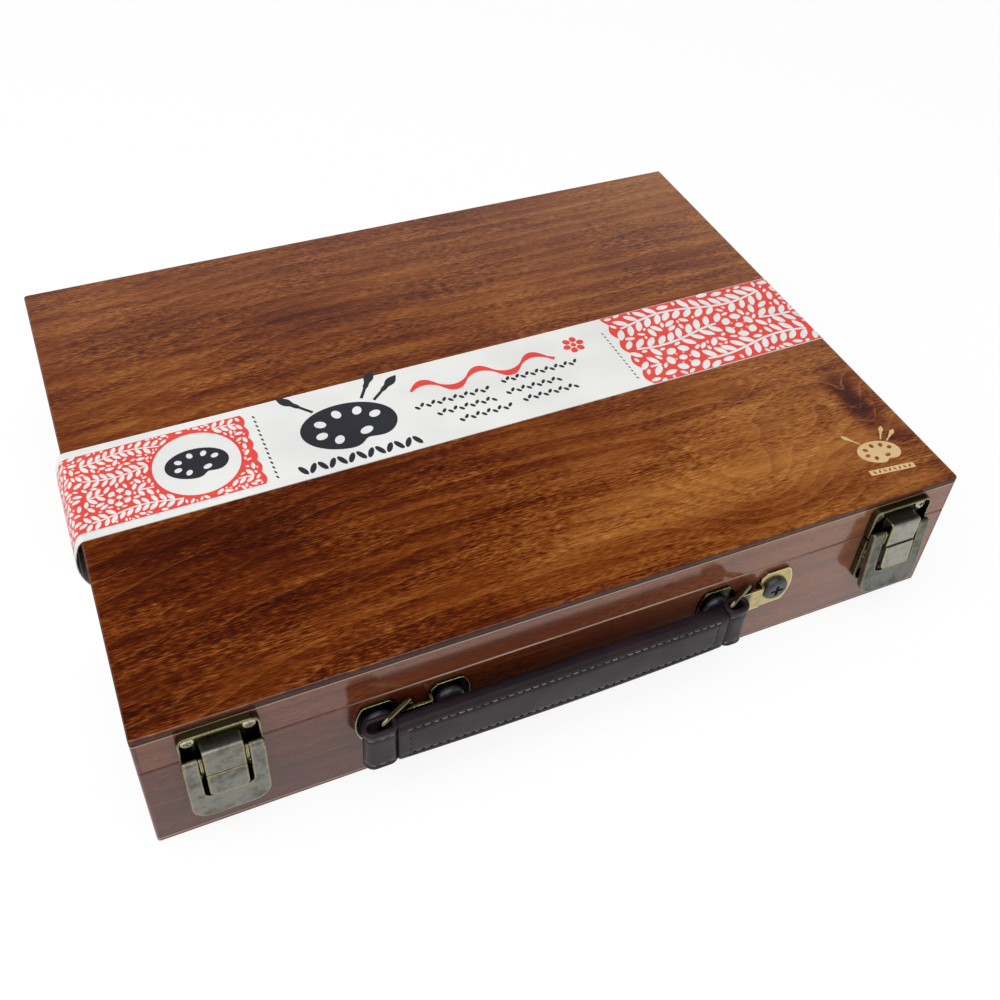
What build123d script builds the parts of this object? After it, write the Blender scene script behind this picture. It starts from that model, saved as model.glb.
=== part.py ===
"""Wooden oil paint box: a flat hinged case with two front latches, a leather handle and a card band.

Millimetres, +Z up, front towards -Y. The origin is on the floor, below the middle of the case.
"""
from build123d import *
from math import cos, hypot, radians, sin
import os

os.makedirs("parts", exist_ok=True)

# Case
case_w = 400.0
case_d = 300.0
card_t = 0.4
case_h = 77.6
lid_h = 23.3
board_t = 8.0
lip_t = 2.2
bottom_panel_t = 3.0
top_panel_t = 3.5
corner_r = 1.6
seam_r = 0.8
panel_r = 1.0
seam_gap = 0.3

# Inside of the case
divider_t = 4.0
divider_h = 38.0
brush_tray_d = 62.0
middle_bay_w = 124.0
palette_side_gap = 1.0
palette_end_gap = 7.0
palette_t = 3.0
palette_corner_r = 24.0
thumb_hole_l = 42.0
thumb_hole_w = 26.0
thumb_hole_inset = 52.0
thumb_hole_turn = 45.0
cleat_w = 14.0
cleat_l = 120.0
cleat_drop = 0.2
button_reach = 14.0
button_tail = 5.0
button_w = 8.0
button_t = 1.5
button_screw_r = 1.5
button_screw_head_r = 3.0
button_screw_head_h = 1.2
button_screw_bite = 2.6

# Clearances
running_fit = 0.05
moving_gap = 0.3
screw_gap = 0.1
touch = 0.01

# Back hinges
hinge_inset = 71.0
leaf_w = 38.0
leaf_reach = 18.0
leaf_t = 1.2
leaf_r = 2.0
knuckle_r = 2.2
knuckle_back = 2.7
middle_knuckle_w = 12.8
hinge_pin_r = 1.0
hinge_pin_end = 0.6
hinge_screw_spacing = 22.0
hinge_screw_drop = 11.0
hinge_screw_r = 1.2
hinge_screw_head_r = 2.5
hinge_screw_head_h = 0.7
hinge_screw_l = 6.5

# Front latches
latch_inset = 16.6
latch_w = 33.4
keeper_h = 18.5
keeper_gap = 0.5
keeper_r = 4.0
plate_seam_r = 1.5
plate_floor_t = 0.9
plate_wall_t = 0.9
plate_depth = 3.7
latch_plate_h = 30.5
latch_plate_r = 6.0
latch_screw_spacing = 24.8
keeper_screw_drop = 5.7
base_plate_screw_drop = 13.0
latch_screw_r = 1.5
latch_screw_head_r = 3.1
latch_screw_head_h = 1.0
latch_screw_l = 6.5
hook_w = 16.5
hook_t = 1.3
hook_top_drop = 7.2
hook_out = 8.6
hook_l = 14.5
hook_bend_r = 1.8
hook_foot_l = 8.5
pivot_rise = 4.8
pivot_out = 5.8
pivot_barrel_r = 1.7
pivot_pin_r = 0.85
barrel_proud = 0.2
barrel_end_r = 1.0
ear_t = 1.2
ear_foot_drop = 9.7
lever_l = 39.5
lever_t = 1.2
lever_bar_h = 14.6
lever_r = 8.4
lever_shoulder_r = 2.5
window_r = 2.8
slot_w = 2.0
lever_rim_t = 1.2
tongue_gap = 1.9
tongue_h = 14.8
tongue_t = 1.5
tongue_r = 2.6
tongue_tab_t = 1.2
tongue_tab_w = 14.0
tongue_tab_l = 11.0
right_lever_lift = 5.0
edge_r = 0.35

# Handle brackets
bracket_spacing = 169.0
bracket_w = 53.0
bracket_h = 23.7
bracket_t = 1.6
bracket_drop = 15.4
bracket_bulge = 3.4
bracket_r = 2.5
bridge_w = 16.0
bridge_h = 13.4
bridge_t = 1.1
bridge_out = 5.4
bridge_r = 1.6
tab_chamfer = 3.0
bracket_screw_spacing = 33.0
bracket_screw_r = 1.8
bracket_screw_head_r = 6.9
bracket_screw_head_h = 2.9
bracket_screw_dome = 2.4
bracket_screw_l = 6.0

# Rings
wire_r = 1.4
ring_h = 29.0
ring_sag = 4.0
ring_spread = 1.0
ring_shift = -0.6
ring_bend_r = 3.0
ring_pivot_out = 2.5
ring_lean_x = 15.5
ring_lean_out = 8.0

# Leather grip
grip_h = 25.4
grip_t = 9.2
grip_r = 3.6
strap_t = 4.8
strap_h = 22.0
loop_l = 14.6
loop_t = 9.6
loop_h = 23.2
loop_hole_l = 7.5
loop_hole_t = 5.2
loop_play = 2.0

# Card band
band_front = 38.8
band_back = 20.3
band_bulge = 4.2
band_bulge_h = 31.0

# Levels and places that follow from the sizes above
case_low = card_t
case_high = case_low + case_h
seam_z = case_high - lid_h
base_high = seam_z - seam_gap / 2
lid_low = seam_z + seam_gap / 2
floor_top = case_low + bottom_panel_t
lid_ceiling = case_high - top_panel_t
inner_w = case_w - 2 * board_t
inner_d = case_d - 2 * board_t
wall_y = case_d / 2
latch_x = case_w / 2 - latch_inset - latch_w / 2
bracket_x = bracket_spacing / 2
bracket_z = seam_z - bracket_drop
ring_z = bracket_z - ring_sag
hinge_x = case_w / 2 - hinge_inset - leaf_w / 2
palette_w = inner_w - 2 * (cleat_w + palette_side_gap)
palette_d = inner_d - 2 * palette_end_gap
divider_y = -inner_d / 2 + brush_tray_d + divider_t / 2
keeper_low = seam_z + keeper_gap
keeper_high = keeper_low + keeper_h
keeper_screw_z = keeper_high - keeper_screw_drop
base_plate_high = seam_z - keeper_gap
base_plate_low = base_plate_high - latch_plate_h
base_plate_screw_z = base_plate_high - base_plate_screw_drop
hook_high = keeper_high - hook_top_drop
pivot_z = seam_z + pivot_rise
window_w = hook_w + 2 * slot_w
ear_x = (hook_w + window_w) / 4
base_hinge_screw_z = seam_z - hinge_screw_drop
lid_hinge_screw_z = seam_z + hinge_screw_drop
ring_out = ring_pivot_out + ring_lean_out
ring_x = bracket_x + ring_spread
loop_hole_x = ring_x + loop_play
grip_l = 2 * loop_hole_x - loop_l
cleat_t = palette_t + cleat_drop
cleat_low = lid_ceiling - cleat_t
cleat_x = (inner_w - cleat_w) / 2
button_high = cleat_low - moving_gap
button_low = button_high - button_t
sides = {"left": -1, "right": 1}


def front_plane(x=0.0, out=0.0, height=0.0):
    """Plane on the front wall: local X is X, local Y is up, and its normal points out of the box."""
    return Plane(origin=(x, -wall_y - out, height), x_dir=(1, 0, 0), z_dir=(0, -1, 0))


def front_section(x=0.0):
    """Upright plane across the front wall: local X points out of the box, local Y is up."""
    return Plane(origin=(x, -wall_y, 0), x_dir=(0, -1, 0), z_dir=(-1, 0, 0))


def front_level(x, height):
    """Level plane at the front wall: local X is X, local Y points out, and its normal points down."""
    return Plane(origin=(x, -wall_y, height), x_dir=(1, 0, 0), z_dir=(0, 0, -1))


def back_plane(x=0.0, out=0.0, height=0.0):
    """Plane on the back wall: local X is -X, local Y is up, and its normal points out of the box."""
    return Plane(origin=(x, wall_y + out, height), x_dir=(-1, 0, 0), z_dir=(0, 1, 0))


def back_section(x=0.0):
    """Upright plane across the back wall: local X points out of the box, local Y is up."""
    return Plane(origin=(x, wall_y, 0), x_dir=(0, 1, 0), z_dir=(1, 0, 0))


def pairs(spacing, centres, height):
    """Points at one height, two about each centre."""
    return [(x + half * spacing / 2, height) for x in centres for half in (-1, 1)]


def plate_shape(width, low, high, low_r, high_r):
    """A plate outline whose lower and upper corners have a radius of their own."""
    with BuildSketch() as outline:
        with Locations((0, (low + high) / 2)):
            Rectangle(width, high - low)
        if low_r:
            fillet(outline.vertices().group_by(Axis.Y)[0], low_r)
        if high_r:
            fillet(outline.vertices().group_by(Axis.Y)[-1], high_r)
    return outline.sketch


def outer_edges(piece, height):
    """The edges at one height that lie on the outside of the case."""
    level = piece.edges().filter_by(lambda e: abs(e.center().Z - height) < touch)
    reach = lambda e: max(abs(e.center().X) - case_w / 2, abs(e.center().Y) - case_d / 2)
    return level.filter_by(lambda e: reach(e) > -corner_r)


def save(piece, label):
    """Name a finished piece and write its file."""
    piece.part.label = label
    export_step(piece.part, f"parts/{label}.step")


# Boards of the base and the lid
latch_centres = (-latch_x, latch_x)
bracket_centres = (-bracket_x, bracket_x)
hinge_centres = (-hinge_x, hinge_x)
bracket_screw_points = pairs(bracket_screw_spacing, bracket_centres, bracket_z)
base_plate_screw_points = pairs(latch_screw_spacing, latch_centres, base_plate_screw_z)
keeper_screw_points = pairs(latch_screw_spacing, latch_centres, keeper_screw_z)
base_hinge_screw_points = pairs(hinge_screw_spacing, hinge_centres, base_hinge_screw_z)
lid_hinge_screw_points = pairs(hinge_screw_spacing, hinge_centres, lid_hinge_screw_z)


def make_side_board(label, side, low, high, seam_level):
    """A left or right board, rabbeted at its ends so that only a thin lip shows from the front."""
    rabbet_t = board_t - lip_t
    with BuildPart() as board:
        with BuildSketch(Plane.XY.offset(low)):
            with Locations((side * (case_w - board_t) / 2, 0)):
                Rectangle(board_t, case_d)
            corner_x, corner_y = side * (inner_w + rabbet_t) / 2, (case_d - board_t) / 2
            with Locations((corner_x, -corner_y), (corner_x, corner_y)):
                Rectangle(rabbet_t, board_t, mode=Mode.SUBTRACT)
        extrude(amount=high - low)
        corners = board.edges().filter_by(Axis.Z).filter_by(lambda e: abs(e.center().X) > case_w / 2 - touch)
        fillet(corners, corner_r)
        fillet(outer_edges(board, seam_level), seam_r)
    save(board, label)


def make_long_board(label, end, low, high, seam_level, wall, screws):
    """A front or back board between the lips, with pilot holes for the screws of its fittings."""
    with BuildPart() as board:
        with BuildSketch(Plane.XY.offset(low)):
            with Locations((0, end * (case_d - board_t) / 2)):
                Rectangle(case_w - 2 * lip_t, board_t)
        extrude(amount=high - low)
        fillet(outer_edges(board, seam_level), seam_r)
        for points, radius, depth in screws:
            with BuildSketch(wall):
                with Locations(*points):
                    Circle(radius)
            extrude(amount=-depth, mode=Mode.SUBTRACT)
    save(board, label)


for side_name, side in sides.items():
    make_side_board(f"base_{side_name}_board", side, floor_top, base_high, base_high)
    make_side_board(f"lid_{side_name}_board", side, lid_low, lid_ceiling, lid_low)

base_front_screws = [
    (bracket_screw_points, bracket_screw_r, bracket_screw_l - bracket_t),
    (base_plate_screw_points, latch_screw_r, latch_screw_l - plate_floor_t),
]
lid_front_screws = [(keeper_screw_points, latch_screw_r, latch_screw_l - plate_floor_t)]
base_back_screws = [(base_hinge_screw_points, hinge_screw_r, hinge_screw_l - leaf_t)]
lid_back_screws = [(lid_hinge_screw_points, hinge_screw_r, hinge_screw_l - leaf_t)]
make_long_board("base_front_board", -1, floor_top, base_high, base_high, front_plane(), base_front_screws)
make_long_board("base_back_board", 1, floor_top, base_high, base_high, back_plane(), base_back_screws)
make_long_board("lid_front_board", -1, lid_low, lid_ceiling, lid_low, front_plane(), lid_front_screws)
make_long_board("lid_back_board", 1, lid_low, lid_ceiling, lid_low, back_plane(), lid_back_screws)


# Thin panels under the base and over the lid
def make_panel(label, low, thickness, outer_level):
    """A panel of the whole case size with rounded corners and a soft outer edge."""
    with BuildPart() as panel:
        with BuildSketch(Plane.XY.offset(low)):
            RectangleRounded(case_w, case_d, corner_r)
        extrude(amount=thickness)
        fillet(outer_edges(panel, outer_level), panel_r)
    save(panel, label)


make_panel("base_bottom_panel", case_low, bottom_panel_t, case_low)
make_panel("lid_top_panel", lid_ceiling, top_panel_t, case_high)

# Partitions of the base
with BuildPart() as long_divider:
    with BuildSketch(Plane.XY.offset(floor_top)):
        with Locations((0, divider_y)):
            Rectangle(inner_w, divider_t)
    extrude(amount=divider_h)
save(long_divider, "long_divider")

bay_front = divider_y + divider_t / 2
bay_back = inner_d / 2
for side_name, side in sides.items():
    with BuildPart() as cross_divider:
        with BuildSketch(Plane.XY.offset(floor_top)):
            with Locations((side * (middle_bay_w + divider_t) / 2, (bay_front + bay_back) / 2)):
                Rectangle(divider_t, bay_back - bay_front)
        extrude(amount=divider_h)
    save(cross_divider, f"{side_name}_cross_divider")

# Mixing palette and what holds it in the lid
with BuildPart() as palette:
    with BuildSketch(Plane.XY.offset(lid_ceiling - palette_t)):
        RectangleRounded(palette_w, palette_d, palette_corner_r)
        hole_spot = (palette_w / 2 - thumb_hole_inset, thumb_hole_inset - palette_d / 2, 0)
        with Locations(Location(hole_spot, thumb_hole_turn)):
            SlotOverall(thumb_hole_l, thumb_hole_w, mode=Mode.SUBTRACT)
    extrude(amount=palette_t)
save(palette, "palette")

with BuildPart() as palette_cleats:
    with BuildSketch(Plane.XY.offset(cleat_low)):
        with Locations((-cleat_x, 0), (cleat_x, 0)):
            Rectangle(cleat_w, cleat_l)
    extrude(amount=cleat_t)
    with BuildSketch(Plane.XY.offset(cleat_low)):
        with Locations((-cleat_x, 0), (cleat_x, 0)):
            Circle(button_screw_r)
    extrude(amount=button_screw_bite, mode=Mode.SUBTRACT)
save(palette_cleats, "palette_cleats")

for side_name, side in sides.items():
    with BuildPart() as turn_button:
        with BuildSketch(Plane.XY.offset(button_low)) as button_shape:
            with Locations((side * (cleat_x - (button_reach - button_tail) / 2), 0)):
                Rectangle(button_reach + button_tail, button_w)
            fillet(button_shape.vertices(), button_w / 2 - 2 * touch)
            with Locations((side * cleat_x, 0)):
                Circle(button_screw_r + running_fit, mode=Mode.SUBTRACT)
        extrude(amount=button_t)
    save(turn_button, f"{side_name}_turn_button")


# Screws
def make_screws(label, plate, points, shank_r, shank_l, head_r, head_h, dome):
    """A set of like screws with domed heads and crossed slots, whose heads seat on a plane."""
    normal = Axis(plate.origin, plate.z_dir)
    slot_l = head_r
    slot_t = head_r / 4
    with BuildPart() as screws:
        with BuildSketch(plate):
            with Locations(*points):
                Circle(head_r)
        extrude(amount=head_h)
        fillet(screws.edges().filter_by(GeomType.CIRCLE).group_by(normal)[-1], dome)
        with BuildSketch(plate):
            with Locations(*points):
                Circle(shank_r)
        extrude(amount=-shank_l)
        with BuildSketch(plate.offset(head_h)):
            with Locations(*points):
                Rectangle(slot_l, slot_t)
                Rectangle(slot_t, slot_l)
        extrude(amount=-head_h / 2, mode=Mode.SUBTRACT)
    save(screws, label)


flat_dome = 0.6
button_seat = Plane(origin=(0, 0, button_low - moving_gap), x_dir=(1, 0, 0), z_dir=(0, 0, -1))
button_screw_l = cleat_low + button_screw_bite - button_seat.origin.Z
make_screws("turn_button_screws", button_seat, [(-cleat_x, 0), (cleat_x, 0)], button_screw_r, button_screw_l,
            button_screw_head_r, button_screw_head_h, flat_dome * button_screw_head_h)
make_screws("bracket_screws", front_plane(out=bracket_t), bracket_screw_points, bracket_screw_r,
            bracket_screw_l, bracket_screw_head_r, bracket_screw_head_h, bracket_screw_dome)


# Back hinges
def knuckle_spans(leaf):
    """Low and high X of the knuckles of one leaf: the base has the outer two, the lid the middle one."""
    if leaf == "lid":
        return [(-middle_knuckle_w / 2, middle_knuckle_w / 2)]
    inner = middle_knuckle_w / 2 + moving_gap
    return [(-leaf_w / 2, -inner), (inner, leaf_w / 2)]


def make_hinge_leaf(label, x, leaf):
    """A hinge leaf on the outside of the back wall with its knuckles, cut back round the others."""
    up = 1 if leaf == "lid" else -1
    bore = hinge_pin_r + (running_fit if leaf == "lid" else 0)
    notch = knuckle_r + moving_gap
    far = seam_z + up * leaf_reach
    near = seam_z + up * notch
    leaf_outline = plate_shape(leaf_w, min(far, near), max(far, near),
                               leaf_r if up < 0 else 0, leaf_r if up > 0 else 0)
    holes = [point for point in (base_hinge_screw_points, lid_hinge_screw_points)[leaf == "lid"]
             if abs(point[0] - x) < leaf_w / 2]
    with BuildPart() as plate:
        with BuildSketch(back_plane(x=x)):
            add(leaf_outline)
        extrude(amount=leaf_t)
        for low_x, high_x in knuckle_spans(leaf):
            with BuildSketch(back_section(x + low_x)):
                with Locations((knuckle_back, seam_z)):
                    Circle(knuckle_r)
                with BuildLine():
                    Polyline((0, near + up * leaf_t), (0, near), (knuckle_back - knuckle_r / 2, seam_z),
                             (knuckle_back, seam_z + up * knuckle_r), (leaf_t, near + up * 2 * leaf_t), close=True)
                make_face()
            extrude(amount=high_x - low_x)
            with BuildSketch(back_section(x + low_x)):
                with Locations((knuckle_back, seam_z)):
                    Circle(bore)
            extrude(amount=high_x - low_x, mode=Mode.SUBTRACT)
        with BuildSketch(back_plane()):
            with Locations(*[(-hole_x, hole_z) for hole_x, hole_z in holes]):
                Circle(hinge_screw_r + screw_gap)
        extrude(amount=leaf_t, mode=Mode.SUBTRACT)
    save(plate, label)


for side_name, side in sides.items():
    make_hinge_leaf(f"{side_name}_hinge_base_leaf", side * hinge_x, "base")
    make_hinge_leaf(f"{side_name}_hinge_lid_leaf", side * hinge_x, "lid")
    with BuildPart() as hinge_pin:
        with BuildSketch(back_section(side * hinge_x - leaf_w / 2 - hinge_pin_end)):
            with Locations((knuckle_back, seam_z)):
                Circle(hinge_pin_r)
        extrude(amount=leaf_w + 2 * hinge_pin_end)
        chamfer(hinge_pin.edges().filter_by(GeomType.CIRCLE), hinge_pin_end / 2)
    save(hinge_pin, f"{side_name}_hinge_pin")

for leaf, points in (("base", base_hinge_screw_points), ("lid", lid_hinge_screw_points)):
    make_screws(f"{leaf}_hinge_screws", back_plane(out=leaf_t), points, hinge_screw_r, hinge_screw_l,
                hinge_screw_head_r, hinge_screw_head_h, flat_dome * hinge_screw_head_h)


# Front latches
def make_dished_plate(label, x, low, high, low_r, high_r, holes, ears):
    """A dished latch plate with a rim all round, and two ears for the pin where it has them."""
    outline = plate_shape(latch_w, low, high, low_r, high_r)
    dish = plate_shape(latch_w - 2 * plate_wall_t, low + plate_wall_t, high - plate_wall_t,
                       low_r - plate_wall_t, high_r - plate_wall_t)
    with BuildPart() as plate:
        with BuildSketch(front_plane(x=x)):
            add(outline)
        extrude(amount=plate_depth)
        fillet(plate.faces().sort_by(Axis.Y)[0].edges(), edge_r)
        with BuildSketch(front_plane(x=x, out=plate_floor_t)):
            add(dish)
        extrude(amount=plate_depth, mode=Mode.SUBTRACT)
        if ears:
            ear_back = pivot_out - pivot_barrel_r
            ear_low = high - ear_foot_drop
            for side in sides.values():
                with BuildSketch(front_section(x + side * ear_x)):
                    with BuildLine():
                        Polyline((0, ear_low), (0, high), (ear_back, high), (ear_back, pivot_z),
                                 (pivot_out + pivot_barrel_r, pivot_z), (pivot_out + pivot_barrel_r, high),
                                 (plate_depth, ear_low), close=True)
                    make_face()
                    with Locations((pivot_out, pivot_z)):
                        Circle(pivot_barrel_r)
                        Circle(pivot_pin_r, mode=Mode.SUBTRACT)
                extrude(amount=ear_t / 2, both=True)
        with BuildSketch(front_plane()):
            with Locations(*[point for point in holes if abs(point[0] - x) < latch_w / 2]):
                Circle(latch_screw_r + screw_gap)
        extrude(amount=plate_floor_t, mode=Mode.SUBTRACT)
    save(plate, label)


def make_keeper_hook(label, x):
    """A strip bent over from the keeper's floor and down across the seam."""
    inner = hook_out - hook_t
    with BuildPart() as hook:
        with BuildSketch(front_section(x)) as bend:
            with BuildLine():
                Polyline((plate_floor_t, hook_high - hook_foot_l), (plate_floor_t, hook_high),
                         (hook_out, hook_high), (hook_out, hook_high - hook_l), (inner, hook_high - hook_l),
                         (inner, hook_high - hook_t), (plate_floor_t + hook_t, hook_high - hook_t),
                         (plate_floor_t + hook_t, hook_high - hook_foot_l), close=True)
            make_face()
            fillet(bend.vertices().sort_by_distance((hook_out, hook_high))[0], hook_bend_r)
            fillet(bend.vertices().sort_by_distance((inner, hook_high - hook_t))[0], hook_bend_r - hook_t)
        extrude(amount=hook_w / 2, both=True)
        fillet(hook.faces().sort_by(Axis.Y)[0].edges().filter_by(Axis.Z), edge_r)
    save(hook, label)


def lever_plane(x, lift, out=0.0):
    """Plane through the lever's pivot, tilted as far as the lever is lifted; its normal points out."""
    tilt = radians(lift)
    normal = Vector(0, -cos(tilt), sin(tilt))
    return Plane(origin=Vector(x, -wall_y - pivot_out, pivot_z) + normal * out, x_dir=(1, 0, 0), z_dir=normal)


def lever_section(x, lift):
    """Plane across the lever's pivot: local X points out of the lever, local Y points up along it."""
    tilt = radians(lift)
    return Plane(origin=(x, -wall_y - pivot_out, pivot_z), x_dir=(0, -cos(tilt), sin(tilt)), z_dir=(-1, 0, 0))


def make_lever_frame(label, x, lift):
    """A window-shaped lever: two arms that turn on the pin, a deep bar below, and a rim turned back."""
    face_out = pivot_barrel_r - barrel_proud
    arm_w = (latch_w - window_w) / 2
    window_h = lever_l - lever_bar_h
    outline = plate_shape(latch_w, -lever_l, 0, lever_r, lever_shoulder_r)
    rim_inside = plate_shape(latch_w - 2 * lever_rim_t, lever_rim_t - lever_l, lever_rim_t,
                             lever_r - lever_rim_t, 0)
    window = plate_shape(window_w, -window_h, lever_t, window_r, 0)
    with BuildPart() as frame:
        with BuildSketch(lever_plane(x, lift, face_out - lever_t)):
            add(outline)
            add(window, mode=Mode.SUBTRACT)
        extrude(amount=lever_t)
        front = frame.faces().filter_by(lever_plane(x, lift)).sort_by(Axis.Y)[0]
        fillet(front.edges(), edge_r)
        with BuildSketch(lever_plane(x, lift, -face_out)):
            add(outline)
            add(rim_inside, mode=Mode.SUBTRACT)
        extrude(amount=2 * face_out - lever_t)
        with BuildPart(mode=Mode.PRIVATE) as barrels:
            for side in sides.values():
                with BuildSketch(lever_section(x + side * (latch_w - arm_w) / 2, lift)):
                    Circle(pivot_barrel_r)
                extrude(amount=arm_w / 2, both=True)
            ends = barrels.edges().filter_by(GeomType.CIRCLE).group_by(Axis.X)
            fillet(ends[0] + ends[-1], barrel_end_r)
        add(barrels.part)
        with BuildSketch(lever_section(x, lift)):
            Circle(pivot_pin_r + running_fit)
        extrude(amount=latch_w / 2, both=True, mode=Mode.SUBTRACT)
    save(frame, label)


def make_lever_tongue(label, x, lift):
    """A tongue that stands in the lever's window, on a tab that lies behind the lever's bar."""
    bar_high = lever_bar_h - lever_l
    low = bar_high + tongue_gap
    high = low + tongue_h
    back = pivot_barrel_r - edge_r
    tab_out = pivot_barrel_r - barrel_proud - lever_t - tongue_tab_t
    outline = plate_shape(hook_w, low, high, tongue_r, edge_r)
    with BuildPart() as tongue:
        with BuildSketch(lever_plane(x, lift, back)):
            add(outline)
        extrude(amount=tongue_t)
        front = tongue.faces().filter_by(lever_plane(x, lift)).sort_by(Axis.Y)[0]
        fillet(front.edges(), edge_r)
        with BuildSketch(lever_plane(x, lift, tab_out)):
            with Locations((0, low + tongue_tab_t - tongue_tab_l / 2)):
                Rectangle(tongue_tab_w, tongue_tab_l)
        extrude(amount=tongue_tab_t)
        with BuildSketch(lever_plane(x, lift, tab_out)):
            with Locations((0, low + tongue_tab_t / 2)):
                Rectangle(tongue_tab_w, tongue_tab_t)
        extrude(amount=back - tab_out)
    save(tongue, label)


def make_lever_pin(label, x):
    """The pin through both ears, on which the lever's arms turn."""
    pin_l = latch_w - 2 * moving_gap
    with BuildPart() as pin:
        with BuildSketch(front_section(x)):
            with Locations((pivot_out, pivot_z)):
                Circle(pivot_pin_r)
        extrude(amount=pin_l / 2, both=True)
        chamfer(pin.edges().filter_by(GeomType.CIRCLE), edge_r)
    save(pin, label)


lever_lift = {"left": 0.0, "right": right_lever_lift}
for side_name, side in sides.items():
    centre = side * latch_x
    lift = lever_lift[side_name]
    make_dished_plate(f"{side_name}_keeper_plate", centre, keeper_low, keeper_high, plate_seam_r, keeper_r,
                      keeper_screw_points, ears=False)
    make_dished_plate(f"{side_name}_base_plate", centre, base_plate_low, base_plate_high, latch_plate_r,
                      plate_seam_r, base_plate_screw_points, ears=True)
    make_keeper_hook(f"{side_name}_keeper_hook", centre)
    make_lever_frame(f"{side_name}_lever_frame", centre, lift)
    make_lever_tongue(f"{side_name}_lever_tongue", centre, lift)
    make_lever_pin(f"{side_name}_lever_pin", centre)

for label, points in (("keeper_screws", keeper_screw_points), ("base_plate_screws", base_plate_screw_points)):
    make_screws(label, front_plane(out=plate_floor_t), points, latch_screw_r, latch_screw_l,
                latch_screw_head_r, latch_screw_head_h, flat_dome * latch_screw_head_h)


# Handle brackets
def make_bracket(label, x):
    """A bracket plate of two screwed tabs, joined by a raised bridge that the ring's bar stands behind."""
    low = bracket_z - bracket_h / 2
    high = bracket_z + bracket_h / 2
    notch_h = (bracket_h - bridge_h) / 2
    inner_w = bridge_w - 2 * bridge_t
    edge_x = bracket_w / 2 - bracket_bulge
    with BuildPart() as bracket:
        with BuildSketch(front_plane(x=x)) as outline:
            with BuildLine():
                Line((-edge_x, low), (edge_x, low))
                ThreePointArc((edge_x, low), (bracket_w / 2, bracket_z), (edge_x, high))
                Line((edge_x, high), (-edge_x, high))
                ThreePointArc((-edge_x, high), (-bracket_w / 2, bracket_z), (-edge_x, low))
            make_face()
            fillet(outline.vertices(), bracket_r)
            with Locations((0, bracket_z)):
                Rectangle(inner_w, bracket_h, mode=Mode.SUBTRACT)
            for end in (-1, 1):
                edge = bracket_z + end * bracket_h / 2
                with BuildLine():
                    Polyline((-bridge_w / 2, edge - end * notch_h), (-bridge_w / 2, edge - end * tab_chamfer),
                             (-bridge_w / 2 - tab_chamfer, edge), (bridge_w / 2 + tab_chamfer, edge),
                             (bridge_w / 2, edge - end * tab_chamfer), (bridge_w / 2, edge - end * notch_h),
                             close=True)
                make_face(mode=Mode.SUBTRACT)
            with Locations((-bracket_screw_spacing / 2, bracket_z), (bracket_screw_spacing / 2, bracket_z)):
                Circle(bracket_screw_r + screw_gap, mode=Mode.SUBTRACT)
        extrude(amount=bracket_t)
        with BuildSketch(front_level(x, bracket_z + bridge_h / 2)) as arch:
            with Locations((0, bridge_out / 2)):
                Rectangle(bridge_w, bridge_out)
            fillet(arch.vertices().group_by(Axis.Y)[-1], bridge_r)
            with Locations((0, (bridge_out - bridge_t) / 2)):
                Rectangle(inner_w, bridge_out - bridge_t, mode=Mode.SUBTRACT)
        extrude(amount=bridge_h)
    save(bracket, label)


# Wire rings
def ring_level(x, height):
    """Level plane at a ring's pivot: local X points along the ring to its outer bar."""
    reach = (-ring_lean_x, -ring_lean_out, 0)
    return Plane(origin=(x, -wall_y - ring_pivot_out, height), x_dir=reach, z_dir=(0, 0, 1))


def make_ring(label, x):
    """A closed rectangular ring of bent wire that leans to the left."""
    ring_w = hypot(ring_lean_x, ring_lean_out)
    level = ring_level(x, ring_z)
    upright = Plane(origin=level.origin, x_dir=level.x_dir, z_dir=level.y_dir)
    with BuildPart() as ring:
        with BuildLine(upright) as path:
            FilletPolyline((0, -ring_h / 2), (0, ring_h / 2), (ring_w, ring_h / 2), (ring_w, -ring_h / 2),
                           radius=ring_bend_r, close=True)
        with BuildSketch(Plane(origin=path.line @ 0, z_dir=path.line % 0)):
            Circle(wire_r)
        sweep()
    save(ring, label)


for side_name, side in sides.items():
    make_bracket(f"{side_name}_bracket", side * bracket_x)
    make_ring(f"{side_name}_ring", side * ring_x + ring_shift)

# Leather grip: the strap with its end loops, and the cover sewn round it
strap_shift = ring_shift - ring_lean_x
loop_xs = (-loop_hole_x + strap_shift, loop_hole_x + strap_shift)
with BuildPart() as grip_strap:
    with BuildSketch(front_level(0, ring_z + loop_h / 2)):
        with Locations(*[(loop_x, ring_out) for loop_x in loop_xs]):
            SlotOverall(loop_l, loop_t)
            SlotOverall(loop_hole_l, loop_hole_t, mode=Mode.SUBTRACT)
    extrude(amount=loop_h)
    with BuildSketch(front_level(0, ring_z + strap_h / 2)):
        with Locations((strap_shift, ring_out)):
            Rectangle(2 * loop_hole_x - loop_hole_l - touch, strap_t)
    extrude(amount=strap_h)
save(grip_strap, "grip_strap")

with BuildPart() as grip_cover:
    with BuildSketch(front_section(strap_shift)):
        with Locations((ring_out, ring_z)):
            RectangleRounded(grip_t, grip_h, grip_r)
            Rectangle(strap_t, strap_h, mode=Mode.SUBTRACT)
    extrude(amount=grip_l / 2, both=True)
save(grip_cover, "grip_cover")


# Card band
def band_shape(grow):
    """Outline across the case that the band follows, with its slack bulge on the left."""
    right = case_w / 2 + grow
    low = case_low - grow
    high = case_high + grow
    bulge_low = high - band_bulge_h
    with BuildSketch() as outline:
        with BuildLine():
            Polyline((-right, high), (right, high), (right, low), (-right, low), (-right, bulge_low))
            ThreePointArc((-right, bulge_low), (-right - band_bulge, (bulge_low + high) / 2), (-right, high))
        make_face()
    return outline.sketch


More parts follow.
